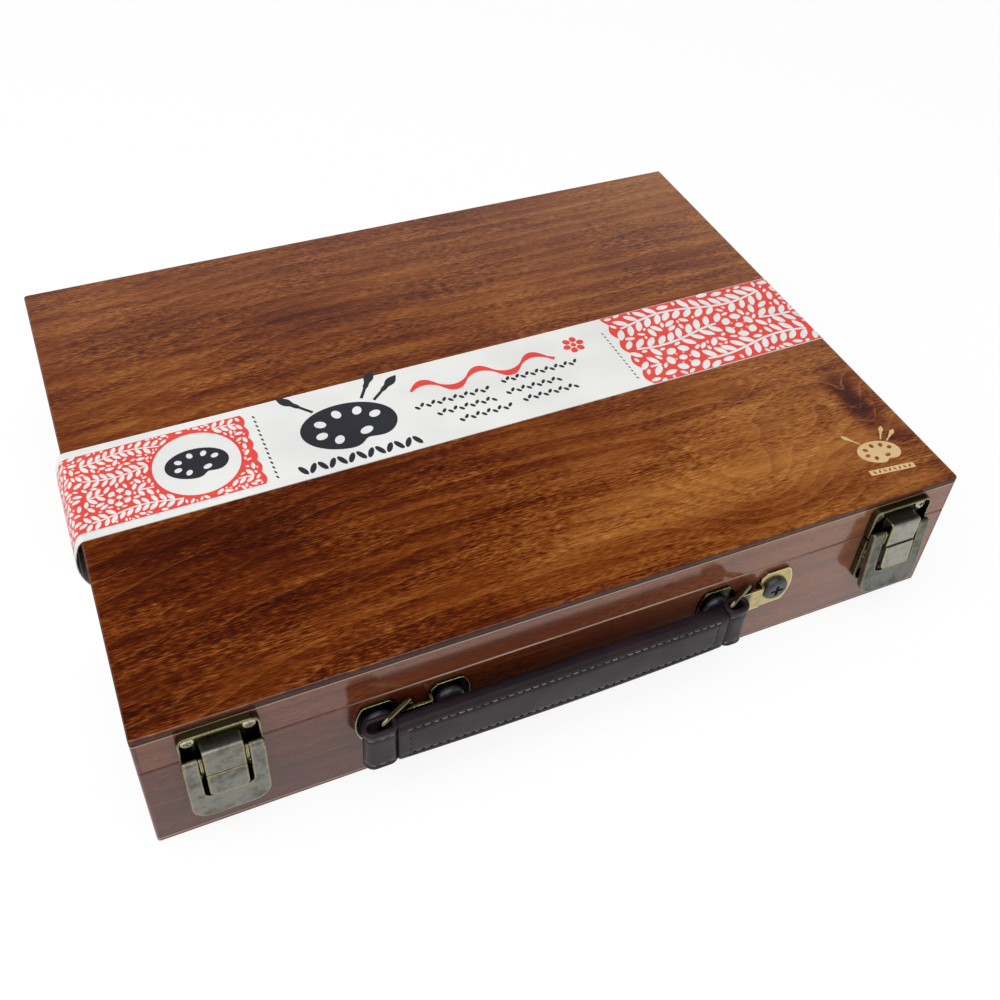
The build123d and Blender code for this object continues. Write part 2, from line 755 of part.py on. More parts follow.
band_outside = band_shape(card_t)
band_inside = band_shape(0)
band_parts = {"sleeve_upper": (lid_low, Keep.TOP), "sleeve_lower": (base_high, Keep.BOTTOM)}
for label, (level, keep) in band_parts.items():
    with BuildPart() as band:
        with BuildSketch(Plane.XZ.offset(-band_back)):
            add(band_outside)
            add(band_inside, mode=Mode.SUBTRACT)
        extrude(amount=band_front + band_back)
        split(bisect_by=Plane.XY.offset(level), keep=keep)
    save(band, label)
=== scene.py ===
"""Looks of a wooden oil paint box: veneer, aged brass, a sewn leather handle and a printed card band.

Metres, +Z up, front towards -Y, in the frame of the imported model. Every new piece is a plain mesh whose
place is in its vertices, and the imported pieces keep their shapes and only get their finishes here.
"""

import logging
import math
import random
from bisect import bisect_right
from dataclasses import dataclass, field, replace
from enum import Enum
from functools import reduce
from typing import Callable, Iterable, Sequence

import bpy
from mathutils import Matrix, Vector


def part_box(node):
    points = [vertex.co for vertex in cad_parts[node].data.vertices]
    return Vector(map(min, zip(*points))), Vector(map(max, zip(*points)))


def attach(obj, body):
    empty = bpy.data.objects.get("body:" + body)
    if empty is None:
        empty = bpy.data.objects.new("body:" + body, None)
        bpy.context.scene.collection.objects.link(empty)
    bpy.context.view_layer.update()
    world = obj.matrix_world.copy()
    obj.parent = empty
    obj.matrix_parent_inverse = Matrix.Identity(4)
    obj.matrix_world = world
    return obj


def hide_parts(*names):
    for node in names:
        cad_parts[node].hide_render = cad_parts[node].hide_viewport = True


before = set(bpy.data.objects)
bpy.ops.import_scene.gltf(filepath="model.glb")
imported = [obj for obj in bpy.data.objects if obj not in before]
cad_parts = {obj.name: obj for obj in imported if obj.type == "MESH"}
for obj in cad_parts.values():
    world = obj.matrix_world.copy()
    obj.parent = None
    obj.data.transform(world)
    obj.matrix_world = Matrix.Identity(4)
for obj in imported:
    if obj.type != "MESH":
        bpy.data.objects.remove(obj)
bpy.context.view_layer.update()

log = logging.getLogger("paint_box")

MM = 0.001
SIDES = ("left", "right")
Colour = tuple[float, float, float, float]
Point2 = tuple[float, float]
Disc = tuple[float, float, float]
Leaf = tuple[float, float, float, float, float]
Face = tuple[int, ...]
Socket = bpy.types.NodeSocket
Value = Socket | float | Sequence[float]
Material = bpy.types.Material
Piece = bpy.types.Object
WHITE: Colour = (1.0, 1.0, 1.0, 1.0)


def tone(red: int, green: int, blue: int) -> Colour:
    """The linear colour that a shader takes, from one as a screen shows it, 0 to 255."""
    def linear(part: int) -> float:
        share = part / 255
        return share / 12.92 if share <= 0.04045 else ((share + 0.055) / 1.055) ** 2.4
    return (linear(red), linear(green), linear(blue), 1.0)


def lerp(low: float, high: float, share: float) -> float:
    """The value that lies a share of the way from low to high."""
    return low + (high - low) * share


def spots(low: float, high: float, steps: int) -> list[float]:
    """Evenly spaced values from low to high, both included."""
    return [lerp(low, high, step / steps) for step in range(steps + 1)]


def around(centre: Point2, radius: float, degrees: float) -> Point2:
    """The point at a distance and an angle from another."""
    angle = math.radians(degrees)
    return centre[0] + radius * math.cos(angle), centre[1] + radius * math.sin(angle)


def hill(offset: float, width: float) -> float:
    """A smooth hill of height 1 over an offset of 0."""
    return math.exp(-(offset / width) ** 2)


class Tree:
    """A node tree, with short calls for adding nodes and doing sums."""

    def __init__(self, tree: bpy.types.NodeTree) -> None:
        """Work on a tree, from empty."""
        self.tree = tree
        self.tree.nodes.clear()

    def node(self, kind: str, inputs: dict[str | int, Value] | None = None,
             **settings: object) -> bpy.types.Node:
        """Add a node, set its properties, and feed its sockets.

        Args:
            kind: Blender's name for the node.
            inputs: a value or another node's output for each socket, by name or number.
            settings: properties of the node.

        Returns:
            The new node.
        """
        made = self.tree.nodes.new(kind)
        for name, value in settings.items():
            setattr(made, name, value)
        for key, value in (inputs or {}).items():
            if isinstance(value, Socket):
                self.tree.links.new(value, made.inputs[key])
            else:
                made.inputs[key].default_value = value
        return made

    def out(self, kind: str, inputs: dict[str | int, Value] | None = None, **settings: object) -> Socket:
        """Add a node in the same way, and give its first output."""
        return self.node(kind, inputs, **settings).outputs[0]

    def sums(self, operation: str, *values: Value) -> Socket:
        """The result of one arithmetic step, named as Blender's Math node names it."""
        return self.out("ShaderNodeMath", dict(enumerate(values)), operation=operation)

    def total(self, *values: Value) -> Value:
        """The sum of several numbers."""
        return reduce(lambda first, second: self.sums("ADD", first, second), values)

    def product(self, *values: Value) -> Value:
        """The product of several numbers."""
        return reduce(lambda first, second: self.sums("MULTIPLY", first, second), values)

    def less(self, first: Value, second: Value) -> Socket:
        """The first number less the second."""
        return self.sums("SUBTRACT", first, second)

    def spread(self, value: Value, low: float, high: float, to_low: float = 0.0,
               to_high: float = 1.0) -> Socket:
        """Map a range of values smoothly on another, holding the ends."""
        inputs = {"Value": value, "From Min": low, "From Max": high, "To Min": to_low, "To Max": to_high}
        return self.out("ShaderNodeMapRange", inputs, interpolation_type="SMOOTHSTEP")


class Sheet(Tree):
    """A material and its node tree, with a short call for each pattern that the finishes use."""

    def __init__(self, name: str) -> None:
        """Start a material of this name."""
        self.material = bpy.data.materials.new(name)
        self.material.use_nodes = True
        super().__init__(self.material.node_tree)
        self.place = self.node("ShaderNodeTexCoord").outputs["Object"]

    def parts(self, vector: Value) -> tuple[Socket, ...]:
        """The X, Y and Z of a vector."""
        return tuple(self.node("ShaderNodeSeparateXYZ", {0: vector}).outputs)

    def scaled(self, *scale: float) -> Socket:
        """The place on the piece times one scale, or one for each axis."""
        each = scale * 3 if len(scale) == 1 else scale
        return self.out("ShaderNodeMapping", {"Vector": self.place, "Scale": each})

    def noise(self, vector: Value, detail: float = 2.0, roughness: float = 0.5,
              distortion: float = 0.0) -> Socket:
        """Smooth noise from 0 to 1 at the scale that the vector already has."""
        return self.out("ShaderNodeTexNoise", {"Vector": vector, "Scale": 1.0, "Detail": detail,
                                               "Roughness": roughness, "Distortion": distortion})

    def ramp(self, value: Value, stops: Iterable[tuple[float, Colour]]) -> Socket:
        """A colour between stops, each given by its place from 0 to 1 and its colour, in order."""
        made = self.node("ShaderNodeValToRGB", {0: value})
        elements = made.color_ramp.elements
        for number, (spot, colour) in enumerate(stops):
            element = elements[number] if number < 2 else elements.new(spot)
            element.position = spot
            element.color = colour
        return made.outputs[0]

    def mixed(self, share: Value, first: Value, second: Value) -> Socket:
        """Two colours mixed, with a share of the second."""
        share_in, first_in, second_in, colour_out = 0, 6, 7, 2
        inputs = {share_in: share, first_in: first, second_in: second}
        return self.node("ShaderNodeMix", inputs, data_type="RGBA").outputs[colour_out]

    def relief(self, height: Value, depth: float, under: Socket | None = None) -> Socket:
        """A surface normal from a height map.

        Args:
            height: the height, from 0 to 1.
            depth: how deep a height of 1 is, in metres.
            under: a normal that this relief lies on.

        Returns:
            The normal.
        """
        inputs = {"Height": height, "Distance": depth, "Strength": 1.0}
        return self.out("ShaderNodeBump", inputs if under is None else inputs | {"Normal": under})

    def edges(self, radius: float) -> Socket:
        """A mask that is 1 along the piece's sharp edges and 0 on its faces."""
        rounded = self.out("ShaderNodeBevel", {"Radius": radius}, samples=12)
        true = self.node("ShaderNodeNewGeometry").outputs["True Normal"]
        likeness = self.node("ShaderNodeVectorMath", {0: rounded, 1: true}, operation="DOT_PRODUCT")
        return self.spread(likeness.outputs["Value"], 0.995, 0.95)

    def hollows(self, distance: float) -> Socket:
        """A mask that is 0 in deep corners and 1 in the open."""
        return self.node("ShaderNodeAmbientOcclusion", {"Distance": distance}, samples=16).outputs["AO"]

    def done(self, **inputs: Value) -> Material:
        """Close the tree with one Principled shader, whose sockets are named with underscores for spaces."""
        named = {key.replace("_", " "): value for key, value in inputs.items()}
        self.node("ShaderNodeOutputMaterial", {"Surface": self.out("ShaderNodeBsdfPrincipled", named)})
        return self.material


class Grain(Enum):
    """Which kind of board a veneer lies on, and so which way its grain runs."""
    LID = "lid"
    FRONT = "front"
    SIDE = "side"


@dataclass(frozen=True)
class Veil:
    """Noise about 0 whose features have a length along the grain and a width across it, in metres."""
    long: float
    wide: float
    seed: float
    detail: float = 2.0

    def over(self, sheet: Sheet, along: Value, across: Value) -> Socket:
        """Lay the noise over the lines of the grain."""
        vector = sheet.out("ShaderNodeCombineXYZ", {0: sheet.sums("DIVIDE", along, self.long),
                                                    1: sheet.sums("DIVIDE", across, self.wide), 2: self.seed})
        return sheet.less(sheet.noise(vector, self.detail, 0.55), 0.5)


VEILS = {
    "drift": Veil(0.24, 0.09, 0.37, 1.5),
    "shiver": Veil(0.04, 0.017, 0.91),
    "fleck": Veil(0.0046, 0.00078, 3.1, 2.5),
    "fibre": Veil(0.012, 0.00042, 7.7),
    "streak": Veil(0.11, 0.0062, 1.3, 3.0),
    "cloud": Veil(0.075, 0.03, 5.5, 3.0),
    "clump": Veil(0.06, 0.02, 8.8),
    "breaks": Veil(0.06, 0.012, 9.2),
}


@dataclass(frozen=True)
class Eye:
    """A knot or swirl: growth lines bend round it, and it may be darker or lighter than the rest."""
    x: float
    y: float
    reach_x: float
    reach_y: float
    lift: float
    stain: float

    def hill(self, sheet: Sheet, x: Socket, y: Socket) -> Socket:
        """A smooth hill over the eye."""
        dx = sheet.sums("DIVIDE", sheet.less(x, self.x), self.reach_x)
        dy = sheet.sums("DIVIDE", sheet.less(y, self.y), self.reach_y)
        apart = sheet.total(sheet.product(dx, dx), sheet.product(dy, dy))
        return sheet.sums("POWER", math.e, sheet.product(apart, -1.0))


LID_EYES = (
    Eye(0.1845, -0.087, 0.0075, 0.023, 0.013, 0.58),
    Eye(0.172, -0.084, 0.004, 0.016, 0.004, -0.2),
    Eye(0.193, -0.118, 0.01, 0.01, 0.012, 0.34),
    Eye(0.197, -0.145, 0.009, 0.01, 0.0, 0.2),
    Eye(0.157, -0.1, 0.02, 0.016, 0.012, -0.04),
    Eye(0.105, -0.115, 0.038, 0.034, 0.048, 0.0),
    Eye(0.075, -0.112, 0.075, 0.028, 0.0, -0.28),
    Eye(0.14, 0.07, 0.09, 0.07, 0.0, 0.2),
    Eye(-0.02, -0.13, 0.07, 0.03, 0.0, -0.06),
    Eye(-0.16, -0.1, 0.07, 0.04, 0.0, 0.13),
    Eye(-0.19, 0.12, 0.12, 0.08, 0.0, -0.08),
    Eye(0.1305, -0.06, 0.012, 0.006, 0.006, 0.2),
    Eye(0.076, -0.077, 0.02, 0.007, 0.0, 0.16),
    Eye(-0.06, 0.075, 0.05, 0.02, -0.01, 0.1),
    Eye(-0.17, -0.02, 0.05, 0.022, 0.0, 0.08),
)


@dataclass(frozen=True)
class Hollow:
    """The inside of the box: half its width and depth, its floor and its ceiling."""
    half_x: float
    half_y: float
    floor: float
    ceiling: float

    def mask(self, sheet: Sheet, x: Socket, y: Socket, z: Socket) -> Socket:
        """1 inside the box and 0 outside."""
        in_x = sheet.sums("LESS_THAN", sheet.sums("ABSOLUTE", x), self.half_x)
        in_y = sheet.sums("LESS_THAN", sheet.sums("ABSOLUTE", y), self.half_y)
        above = sheet.sums("GREATER_THAN", z, self.floor)
        return sheet.product(in_x, in_y, above, sheet.sums("LESS_THAN", z, self.ceiling))


@dataclass(frozen=True)
class Veneer:
    """Rotary-cut veneer, stained and lacquered, on boards whose faces inside the box are left plain."""
    name: str
    grain: Grain
    stops: tuple[float, ...] = (0.02, 0.32, 0.56, 0.96, 1.4)
    colours: tuple[Colour, ...] = ((0.032, 0.0055, 0.0026, 1.0), (0.082, 0.0125, 0.0026, 1.0),
                                   (0.178, 0.0395, 0.0056, 1.0), (0.36, 0.128, 0.026, 1.0),
                                   (0.58, 0.25, 0.06, 1.0))
    line: Colour = (0.4, 0.165, 0.045, 1.0)
    line_share: Point2 = (0.3, 0.62)
    inside: Colour = tone(196, 158, 112)
    inside_dark: Colour = tone(168, 126, 82)
    contrast: float = 1.0
    base_level: float = 0.46
    fleck: float = 1.4
    fibre: float = 0.55
    streak: float = 0.7
    cloud: float = 0.65
    late_wood: float = -0.16
    ring_gap: float = 0.0145
    ring_tilt: float = 0.0
    drift: float = 0.03
    shiver: float = 0.0075
    eyes: tuple[Eye, ...] = ()
    # Painted light: the wood is made lighter towards the right and towards the back, by these amounts, as the
    # light falls on it.
    painted_light_right: float = 0.0
    painted_light_back: float = 0.0
    coat_roughness: float = 0.13
    seam_levels: tuple[float, ...] = ()
    # A pale line just under each seam: partly the pale edge of the ply, partly a painted highlight along that
    # edge.
    seam_ply_and_glint: Colour = tone(178, 148, 120)
    seam_dark: Colour = tone(34, 20, 16)
    has_rim: bool = False
    rim: Colour = tone(52, 34, 28)
    # A pale line along the middle of a board's top edge: partly wear, partly a painted highlight where the
    # rounded edge catches the light.
    worn_glint_top: float = 0.0
    worn: Colour = tone(215, 204, 192)
    # A pale greyish pink mixed into the wood towards the right, from the first share to the second: a painted
    # reflection of the pale floor on the front boards.
    painted_sheen: Point2 = (0.0, 0.0)
    painted_sheen_colour: Colour = tone(190, 160, 150)

    def axes(self, sheet: Sheet, x: Socket, y: Socket, z: Socket) -> tuple[Socket, Socket]:
        """The places along the grain and across it."""
        if self.grain is Grain.LID:
            return x, sheet.less(y, z)
        along, back = (x, y) if self.grain is Grain.FRONT else (y, x)
        return along, sheet.less(z, sheet.product(back, 0.6))

    def stained(self, sheet: Sheet, x: Socket, y: Socket, z: Socket) -> tuple[Socket, ...]:
        """Draw the grain.

        Args:
            sheet: the material.
            x: the place on the piece.
            y: the same.
            z: the same.

        Returns:
            The stained wood's colour, with painted light that lightens it towards the right and the back, and
            its flecks, fibres and streaks.
        """
        along, across = self.axes(sheet, x, y, z)

        def veil(name: str, line: Value = across) -> Socket:
            """One of the noises over the lines of the grain."""
            return VEILS[name].over(sheet, along, line)

        drift = sheet.product(veil("drift"), self.drift)
        shiver = sheet.product(veil("shiver"), self.shiver)
        lean = sheet.product(sheet.spread(along, 0.02, -0.2), sheet.product(along, self.ring_tilt))
        level = sheet.total(across, drift, shiver, lean)
        stain: Value = 0.0
        for eye in self.eyes:
            over_eye = eye.hill(sheet, x, y)
            level = sheet.total(level, sheet.product(over_eye, eye.lift))
            stain = sheet.total(stain, sheet.product(over_eye, eye.stain))
        bent = sheet.total(across, sheet.product(sheet.total(drift, shiver), 0.2))
        fleck, fibre, streak = (veil(name, bent) for name in ("fleck", "fibre", "streak"))
        clump = sheet.spread(veil("clump"), -0.14, 0.16, 0.5, 1.35)
        phase = sheet.sums("DIVIDE", level, self.ring_gap)
        varied = sheet.total(
            sheet.product(fleck, clump, self.fleck),
            sheet.product(fibre, self.fibre),
            sheet.product(streak, self.streak),
            sheet.product(veil("cloud"), self.cloud),
            sheet.product(sheet.less(sheet.sums("FRACT", phase), 0.5), self.late_wood),
        )
        darkness = sheet.total(
            self.base_level,
            sheet.product(varied, self.contrast),
            # Painted light: lighter towards the right and towards the back.
            sheet.product(sheet.spread(x, -0.08, 0.19), self.painted_light_right),
            sheet.product(sheet.spread(y, -0.06, 0.06), self.painted_light_back),
            sheet.product(stain, -1.0),
        )
        span = self.stops[-1]
        places = [stop / span for stop in self.stops]
        wood = sheet.ramp(sheet.sums("DIVIDE", darkness, span), zip(places, self.colours))
        to_line = sheet.sums("PINGPONG", phase, 0.5)
        line = sheet.product(sheet.spread(to_line, 0.06, 0.0), sheet.spread(veil("breaks"), -0.08, 0.14))
        clearer = sheet.spread(x, 0.04, 0.15, *(share * self.contrast for share in self.line_share))
        return sheet.mixed(sheet.product(line, clearer), wood, self.line), fleck, fibre, streak

    def material(self, hollow: Hollow) -> Material:
        """Build the finish; faces in the hollow of the box stay plain."""
        sheet = Sheet(self.name)
        x, y, z = sheet.parts(sheet.place)
        wood, fleck, fibre, streak = self.stained(sheet, x, y, z)
        # Painted reflection: the front boards grow paler and pinker towards the right, as if they reflected
        # the floor.
        if self.painted_sheen[1] > 0:
            wood = sheet.mixed(sheet.spread(x, -0.05, 0.19, *self.painted_sheen), wood, self.painted_sheen_colour)
        # Partly wear and partly a painted highlight: a pale line along the middle of the top edge of the
        # base's front board.
        if self.worn_glint_top > 0:
            top = sheet.spread(z, self.worn_glint_top - 0.5 * MM, self.worn_glint_top - 0.2 * MM)
            span = sheet.product(sheet.spread(x, -0.13, -0.06), sheet.spread(x, 0.14, 0.09))
            rubbed = sheet.product(top, span, sheet.spread(streak, -0.12, 0.12, 0.3, 0.85))
            wood = sheet.mixed(rubbed, wood, self.worn)
        gloss: Value = 1.0
        if self.has_rim:
            up = sheet.parts(sheet.node("ShaderNodeNewGeometry").outputs["True Normal"])[2]
            rim = sheet.spread(sheet.sums("ABSOLUTE", up), 0.95, 0.6)
            wood = sheet.mixed(sheet.product(rim, 0.7), wood, self.rim)
            gloss = sheet.less(1.0, sheet.product(rim, 0.6))
        for seam in self.seam_levels:
            # Partly the pale ply edge and partly a painted highlight: a thin pale line just under the seam.
            off_ply_and_glint = sheet.sums("ABSOLUTE", sheet.less(z, seam - 0.5 * MM))
            pale = sheet.product(sheet.spread(off_ply_and_glint, 0.5 * MM, 0.2 * MM), 0.8)
            wood = sheet.mixed(pale, wood, self.seam_ply_and_glint)
            dark = sheet.sums("ABSOLUTE", sheet.less(z, seam + 0.3 * MM))
            wood = sheet.mixed(sheet.spread(dark, 0.45 * MM, 0.2 * MM), wood, self.seam_dark)
        within = hollow.mask(sheet, x, y, z)
        shade = sheet.spread(sheet.total(fibre, streak), -0.25, 0.25)
        plain = sheet.mixed(shade, self.inside, self.inside_dark)
        skin = sheet.relief(sheet.noise(sheet.scaled(420), 1.0), 0.000012, sheet.relief(fleck, 0.00001))
        return sheet.done(Base_Color=sheet.mixed(within, wood, plain), Roughness=0.5, Specular_IOR_Level=0.0,
                          Normal=sheet.relief(sheet.total(fibre, fleck), 0.00005),
                          Coat_Weight=sheet.product(sheet.less(1.0, within), gloss),
                          Coat_Roughness=self.coat_roughness, Coat_Normal=skin)


@dataclass(frozen=True)
class PlainWood:
    """Unlacquered light wood with straight grain."""
    name: str
    pale: Colour = tone(206, 170, 122)
    brown: Colour = tone(164, 122, 78)
    along_y: bool = False

    def material(self) -> Material:
        """Build the finish."""
        sheet = Sheet(self.name)
        fine = (900, 30, 500) if self.along_y else (30, 900, 500)
        broad = (70, 5, 40) if self.along_y else (5, 70, 40)
        fibre = sheet.noise(sheet.scaled(*fine), 3.0)
        band = sheet.noise(sheet.scaled(*broad), 3.0, distortion=0.4)
        shade = sheet.total(sheet.product(fibre, 0.45), sheet.product(band, 0.55))
        return sheet.done(Base_Color=sheet.mixed(sheet.spread(shade, 0.36, 0.66), self.pale, self.brown),
                          Roughness=0.55, Specular_IOR_Level=0.35, Normal=sheet.relief(fibre, 0.00012))


@dataclass(frozen=True)
class Metal:
    """Metal with cloudy faces, brightened worn edges, and hollows darkened by patina and painted shade.

    Where X is past `bright_from`, the face has the bright colour, if there is one: painted light, for the
    part that catches more light.
    """
    name: str
    face: Colour
    patina: Colour
    worn: Colour
    roughness: float
    wear_radius: float = 0.6 * MM
    wear: float = 0.8
    hollow: float = 6.0 * MM
    hollow_patina_and_shade: float = 0.9
    blotch: float = 0.45
    bright: Colour | None = None
    bright_from: float = 0.0

    def material(self) -> Material:
        """Build the finish."""
        sheet = Sheet(self.name)
        face: Value = self.face
        # Painted light: past a place along X the face is lighter, as where it catches the light.
        if self.bright is not None:
            along = sheet.parts(sheet.place)[0]
            past = sheet.spread(along, self.bright_from - 2 * MM, self.bright_from + 2 * MM)
            face = sheet.mixed(past, self.face, self.bright)
        cloud = sheet.total(sheet.product(sheet.noise(sheet.scaled(75), 3.0), 0.5),
                            sheet.product(sheet.noise(sheet.scaled(320), 4.0, 0.6), 0.5))
        speck = sheet.noise(sheet.scaled(900))
        # Partly patina, partly painted shade: faces in hollows and deep corners darken towards the patina
        # colour, by the ambient occlusion.
        open_air = sheet.hollows(self.hollow)
        dull = sheet.product(sheet.spread(open_air, 0.75, 0.25), self.hollow_patina_and_shade)
        colour = sheet.mixed(sheet.product(sheet.spread(cloud, 0.44, 0.64), self.blotch), face, self.patina)
        colour = sheet.mixed(dull, colour, self.patina)
        edge = sheet.product(sheet.edges(self.wear_radius), sheet.spread(speck, 0.25, 0.6, 0.6, 1.0),
                             sheet.spread(open_air, 0.45, 0.85), self.wear)
        rounded = sheet.out("ShaderNodeBevel", {"Radius": self.wear_radius * 0.5}, samples=4)
        return sheet.done(Base_Color=sheet.mixed(edge, colour, self.worn), Metallic=1.0,
                          Roughness=sheet.spread(cloud, 0.3, 0.7, self.roughness, self.roughness + 0.12),
                          Normal=sheet.relief(cloud, 0.00008, sheet.relief(speck, 0.000015, rounded)))


@dataclass(frozen=True)
class Lacquer:
    """Smooth satin paint over metal."""
    name: str
    colour: Colour
    dust: Colour = tone(52, 52, 56)
    rubbed: Colour = tone(96, 96, 100)

    def material(self) -> Material:
        """Build the finish."""
        sheet = Sheet(self.name)
        speck = sheet.noise(sheet.scaled(700), 3.0)
        colour = sheet.mixed(sheet.spread(speck, 0.4, 0.75), self.colour, self.dust)
        colour = sheet.mixed(sheet.product(sheet.edges(0.3 * MM), 0.5), colour, self.rubbed)
        return sheet.done(Base_Color=colour, Roughness=sheet.spread(speck, 0.3, 0.7, 0.3, 0.44),
                          Specular_IOR_Level=0.6, Normal=sheet.relief(speck, 0.00003))


@dataclass(frozen=True)
class Leather:
    """Smooth dark leather with a fine pebble, faint creases and a soft polish."""
    name: str
    dark: Colour = tone(25, 14, 21)
    brown: Colour = tone(39, 26, 33)
    pores: Colour = tone(26, 17, 18)

    def material(self) -> Material:
        """Build the finish."""
        sheet = Sheet(self.name)
        cells = sheet.node("ShaderNodeTexVoronoi", {"Vector": sheet.scaled(1300), "Scale": 1.0})
        pebble = cells.outputs["Distance"]
        grain = sheet.noise(sheet.scaled(2600))
        rub = sheet.noise(sheet.scaled(45, 60, 60), 4.0, 0.6)
        crease = sheet.noise(sheet.scaled(60, 420, 420), 3.0, distortion=0.6)
        colour = sheet.mixed(sheet.spread(rub, 0.32, 0.72), self.dark, self.brown)
        colour = sheet.mixed(sheet.spread(pebble, 0.55, 0.9, 0.0, 0.35), colour, self.pores)
        height = sheet.total(sheet.product(pebble, -0.45), sheet.product(grain, 0.25),
                             sheet.product(crease, 0.6))
        return sheet.done(Base_Color=colour, Roughness=sheet.spread(rub, 0.3, 0.7, 0.48, 0.4),
                          Specular_IOR_Level=0.26, Normal=sheet.relief(height, 0.0001))


@dataclass(frozen=True)
class Thread:
    """Waxed sewing thread with its twist."""
    name: str
    colour: Colour = tone(168, 154, 130)
    shade: Colour = tone(84, 72, 60)

    def material(self) -> Material:
        """Build the finish."""
        sheet = Sheet(self.name)
        waves = {"Vector": sheet.place, "Scale": 900.0, "Distortion": 1.5}
        twist = sheet.node("ShaderNodeTexWave", waves, bands_direction="DIAGONAL").outputs["Fac"]
        dirt = sheet.spread(sheet.noise(sheet.scaled(260)), 0.35, 0.7)
        colour = sheet.mixed(dirt, self.colour, self.shade)
        # The grooves of the twist are painted darker: painted shade.
        return sheet.done(Base_Color=sheet.mixed(sheet.product(twist, 0.35), colour, self.shade),
                          Roughness=0.7, Normal=sheet.relief(twist, 0.0001))


@dataclass(frozen=True)
class Card:
    """Coated card or a flat ink on it, with the card's faint tooth."""
    name: str
    colour: Colour
    shade: Colour
    roughness: float = 0.38

    def material(self) -> Material:
        """Build the finish."""
        sheet = Sheet(self.name)
        tooth = sheet.noise(sheet.scaled(1500), 3.0)
        cloud = sheet.noise(sheet.scaled(22, 30, 30), 3.0)
        return sheet.done(Base_Color=sheet.mixed(sheet.spread(cloud, 0.35, 0.75), self.colour, self.shade),
                          Roughness=self.roughness, Specular_IOR_Level=0.5,
                          Normal=sheet.relief(tooth, 0.000012, sheet.relief(cloud, 0.00025)))


def dress(names: Iterable[str], material: Material) -> None:
    """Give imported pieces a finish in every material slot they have."""
    for name in names:
        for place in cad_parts[name].material_slots:
            place.material = material
        log.info("dressed %s in %s", name, material.name)


def link(name: str, data: bpy.types.ID) -> Piece:
    """Make an object of this data and put it in the scene."""
    piece = bpy.data.objects.new(name, data)
    bpy.context.scene.collection.objects.link(piece)
    return piece


def mesh_of(name: str, points: Iterable[Sequence[float]], edges: Sequence[Face] = (),
            faces: Sequence[Face] = ()) -> bpy.types.Mesh:
    """A mesh from points in metres, with edges or faces by point number."""
    mesh = bpy.data.meshes.new(name)
    mesh.from_pydata([tuple(point) for point in points], edges, faces)
    mesh.update()
    return mesh


def build_mesh(name: str, points: Iterable[Sequence[float]], faces: Sequence[Face], material: Material,
               smooth: bool = True) -> Piece:
    """Make an object from points and faces.

    Args:
        name: the object's name.
        points: its vertices, in metres.
        faces: its faces, by vertex number.
        material: its finish.
        smooth: whether its faces shade smoothly.

    Returns:
        The object, linked to the scene.
    """
    mesh = mesh_of(name, points, faces=faces)
    mesh.materials.append(material)
    mesh.polygons.foreach_set("use_smooth", [smooth] * len(mesh.polygons))
    return link(name, mesh)


def grid(rows: int, count: int, ring: bool = True, closed: bool = False) -> list[Face]:
    """Faces between neighbours in a grid of points that are numbered row by row.

    Args:
        rows: number of rows.
        count: points in each row.
        ring: whether each row closes on itself.
        closed: whether the last row joins the first.

    Returns:
        The faces, by point number.
    """
    faces = []
    for row in range(rows if closed else rows - 1):
        here, above = row * count, (row + 1) % rows * count
        for spot in range(count if ring else count - 1):
            after = (spot + 1) % count
            faces.append((here + spot, here + after, above + after, above + spot))
    return faces


def settle(piece: Piece, body: str, replaces: Sequence[str] = ()) -> None:
    """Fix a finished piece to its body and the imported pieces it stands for."""
    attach(piece, body)
    if replaces:
        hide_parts(*replaces)
    log.info("built %s on %s", piece.name, body)


def as_mesh(piece: Piece) -> bpy.types.Mesh:
    """A new mesh of what an object looks like after its modifiers and fills."""
    graph = bpy.context.evaluated_depsgraph_get()
    return bpy.data.meshes.new_from_object(piece.evaluated_get(graph))


class GeometryTree(Tree):
    """A geometry node tree that is run once on an object and leaves a plain mesh."""

    def __init__(self, name: str) -> None:
        """Start a tree that takes and gives a geometry."""
        super().__init__(bpy.data.node_groups.new(name, "GeometryNodeTree"))
        for way in ("INPUT", "OUTPUT"):
            self.tree.interface.new_socket("Geometry", in_out=way, socket_type="NodeSocketGeometry")
        self.start = self.node("NodeGroupInput").outputs["Geometry"]

    def run(self, piece: Piece, geometry: Socket, material: Material) -> Piece:
        """End the tree with real, smooth geometry in its material, and run it on an object.

        Args:
            piece: the object that holds the points or paths.
            geometry: the tree's result.
            material: its finish.

        Returns:
            The same object, with the result as its plain mesh.
        """
        real = self.out("GeometryNodeRealizeInstances", {0: geometry})
        smooth = self.out("GeometryNodeSetShadeSmooth", {0: real})
        painted = self.out("GeometryNodeSetMaterial", {0: smooth, "Material": material})
        self.node("NodeGroupOutput", {0: painted})
        piece.modifiers.new("pattern", "NODES").node_group = self.tree
        mesh = as_mesh(piece)
        piece.modifiers.clear()
        piece.data = mesh
        return piece


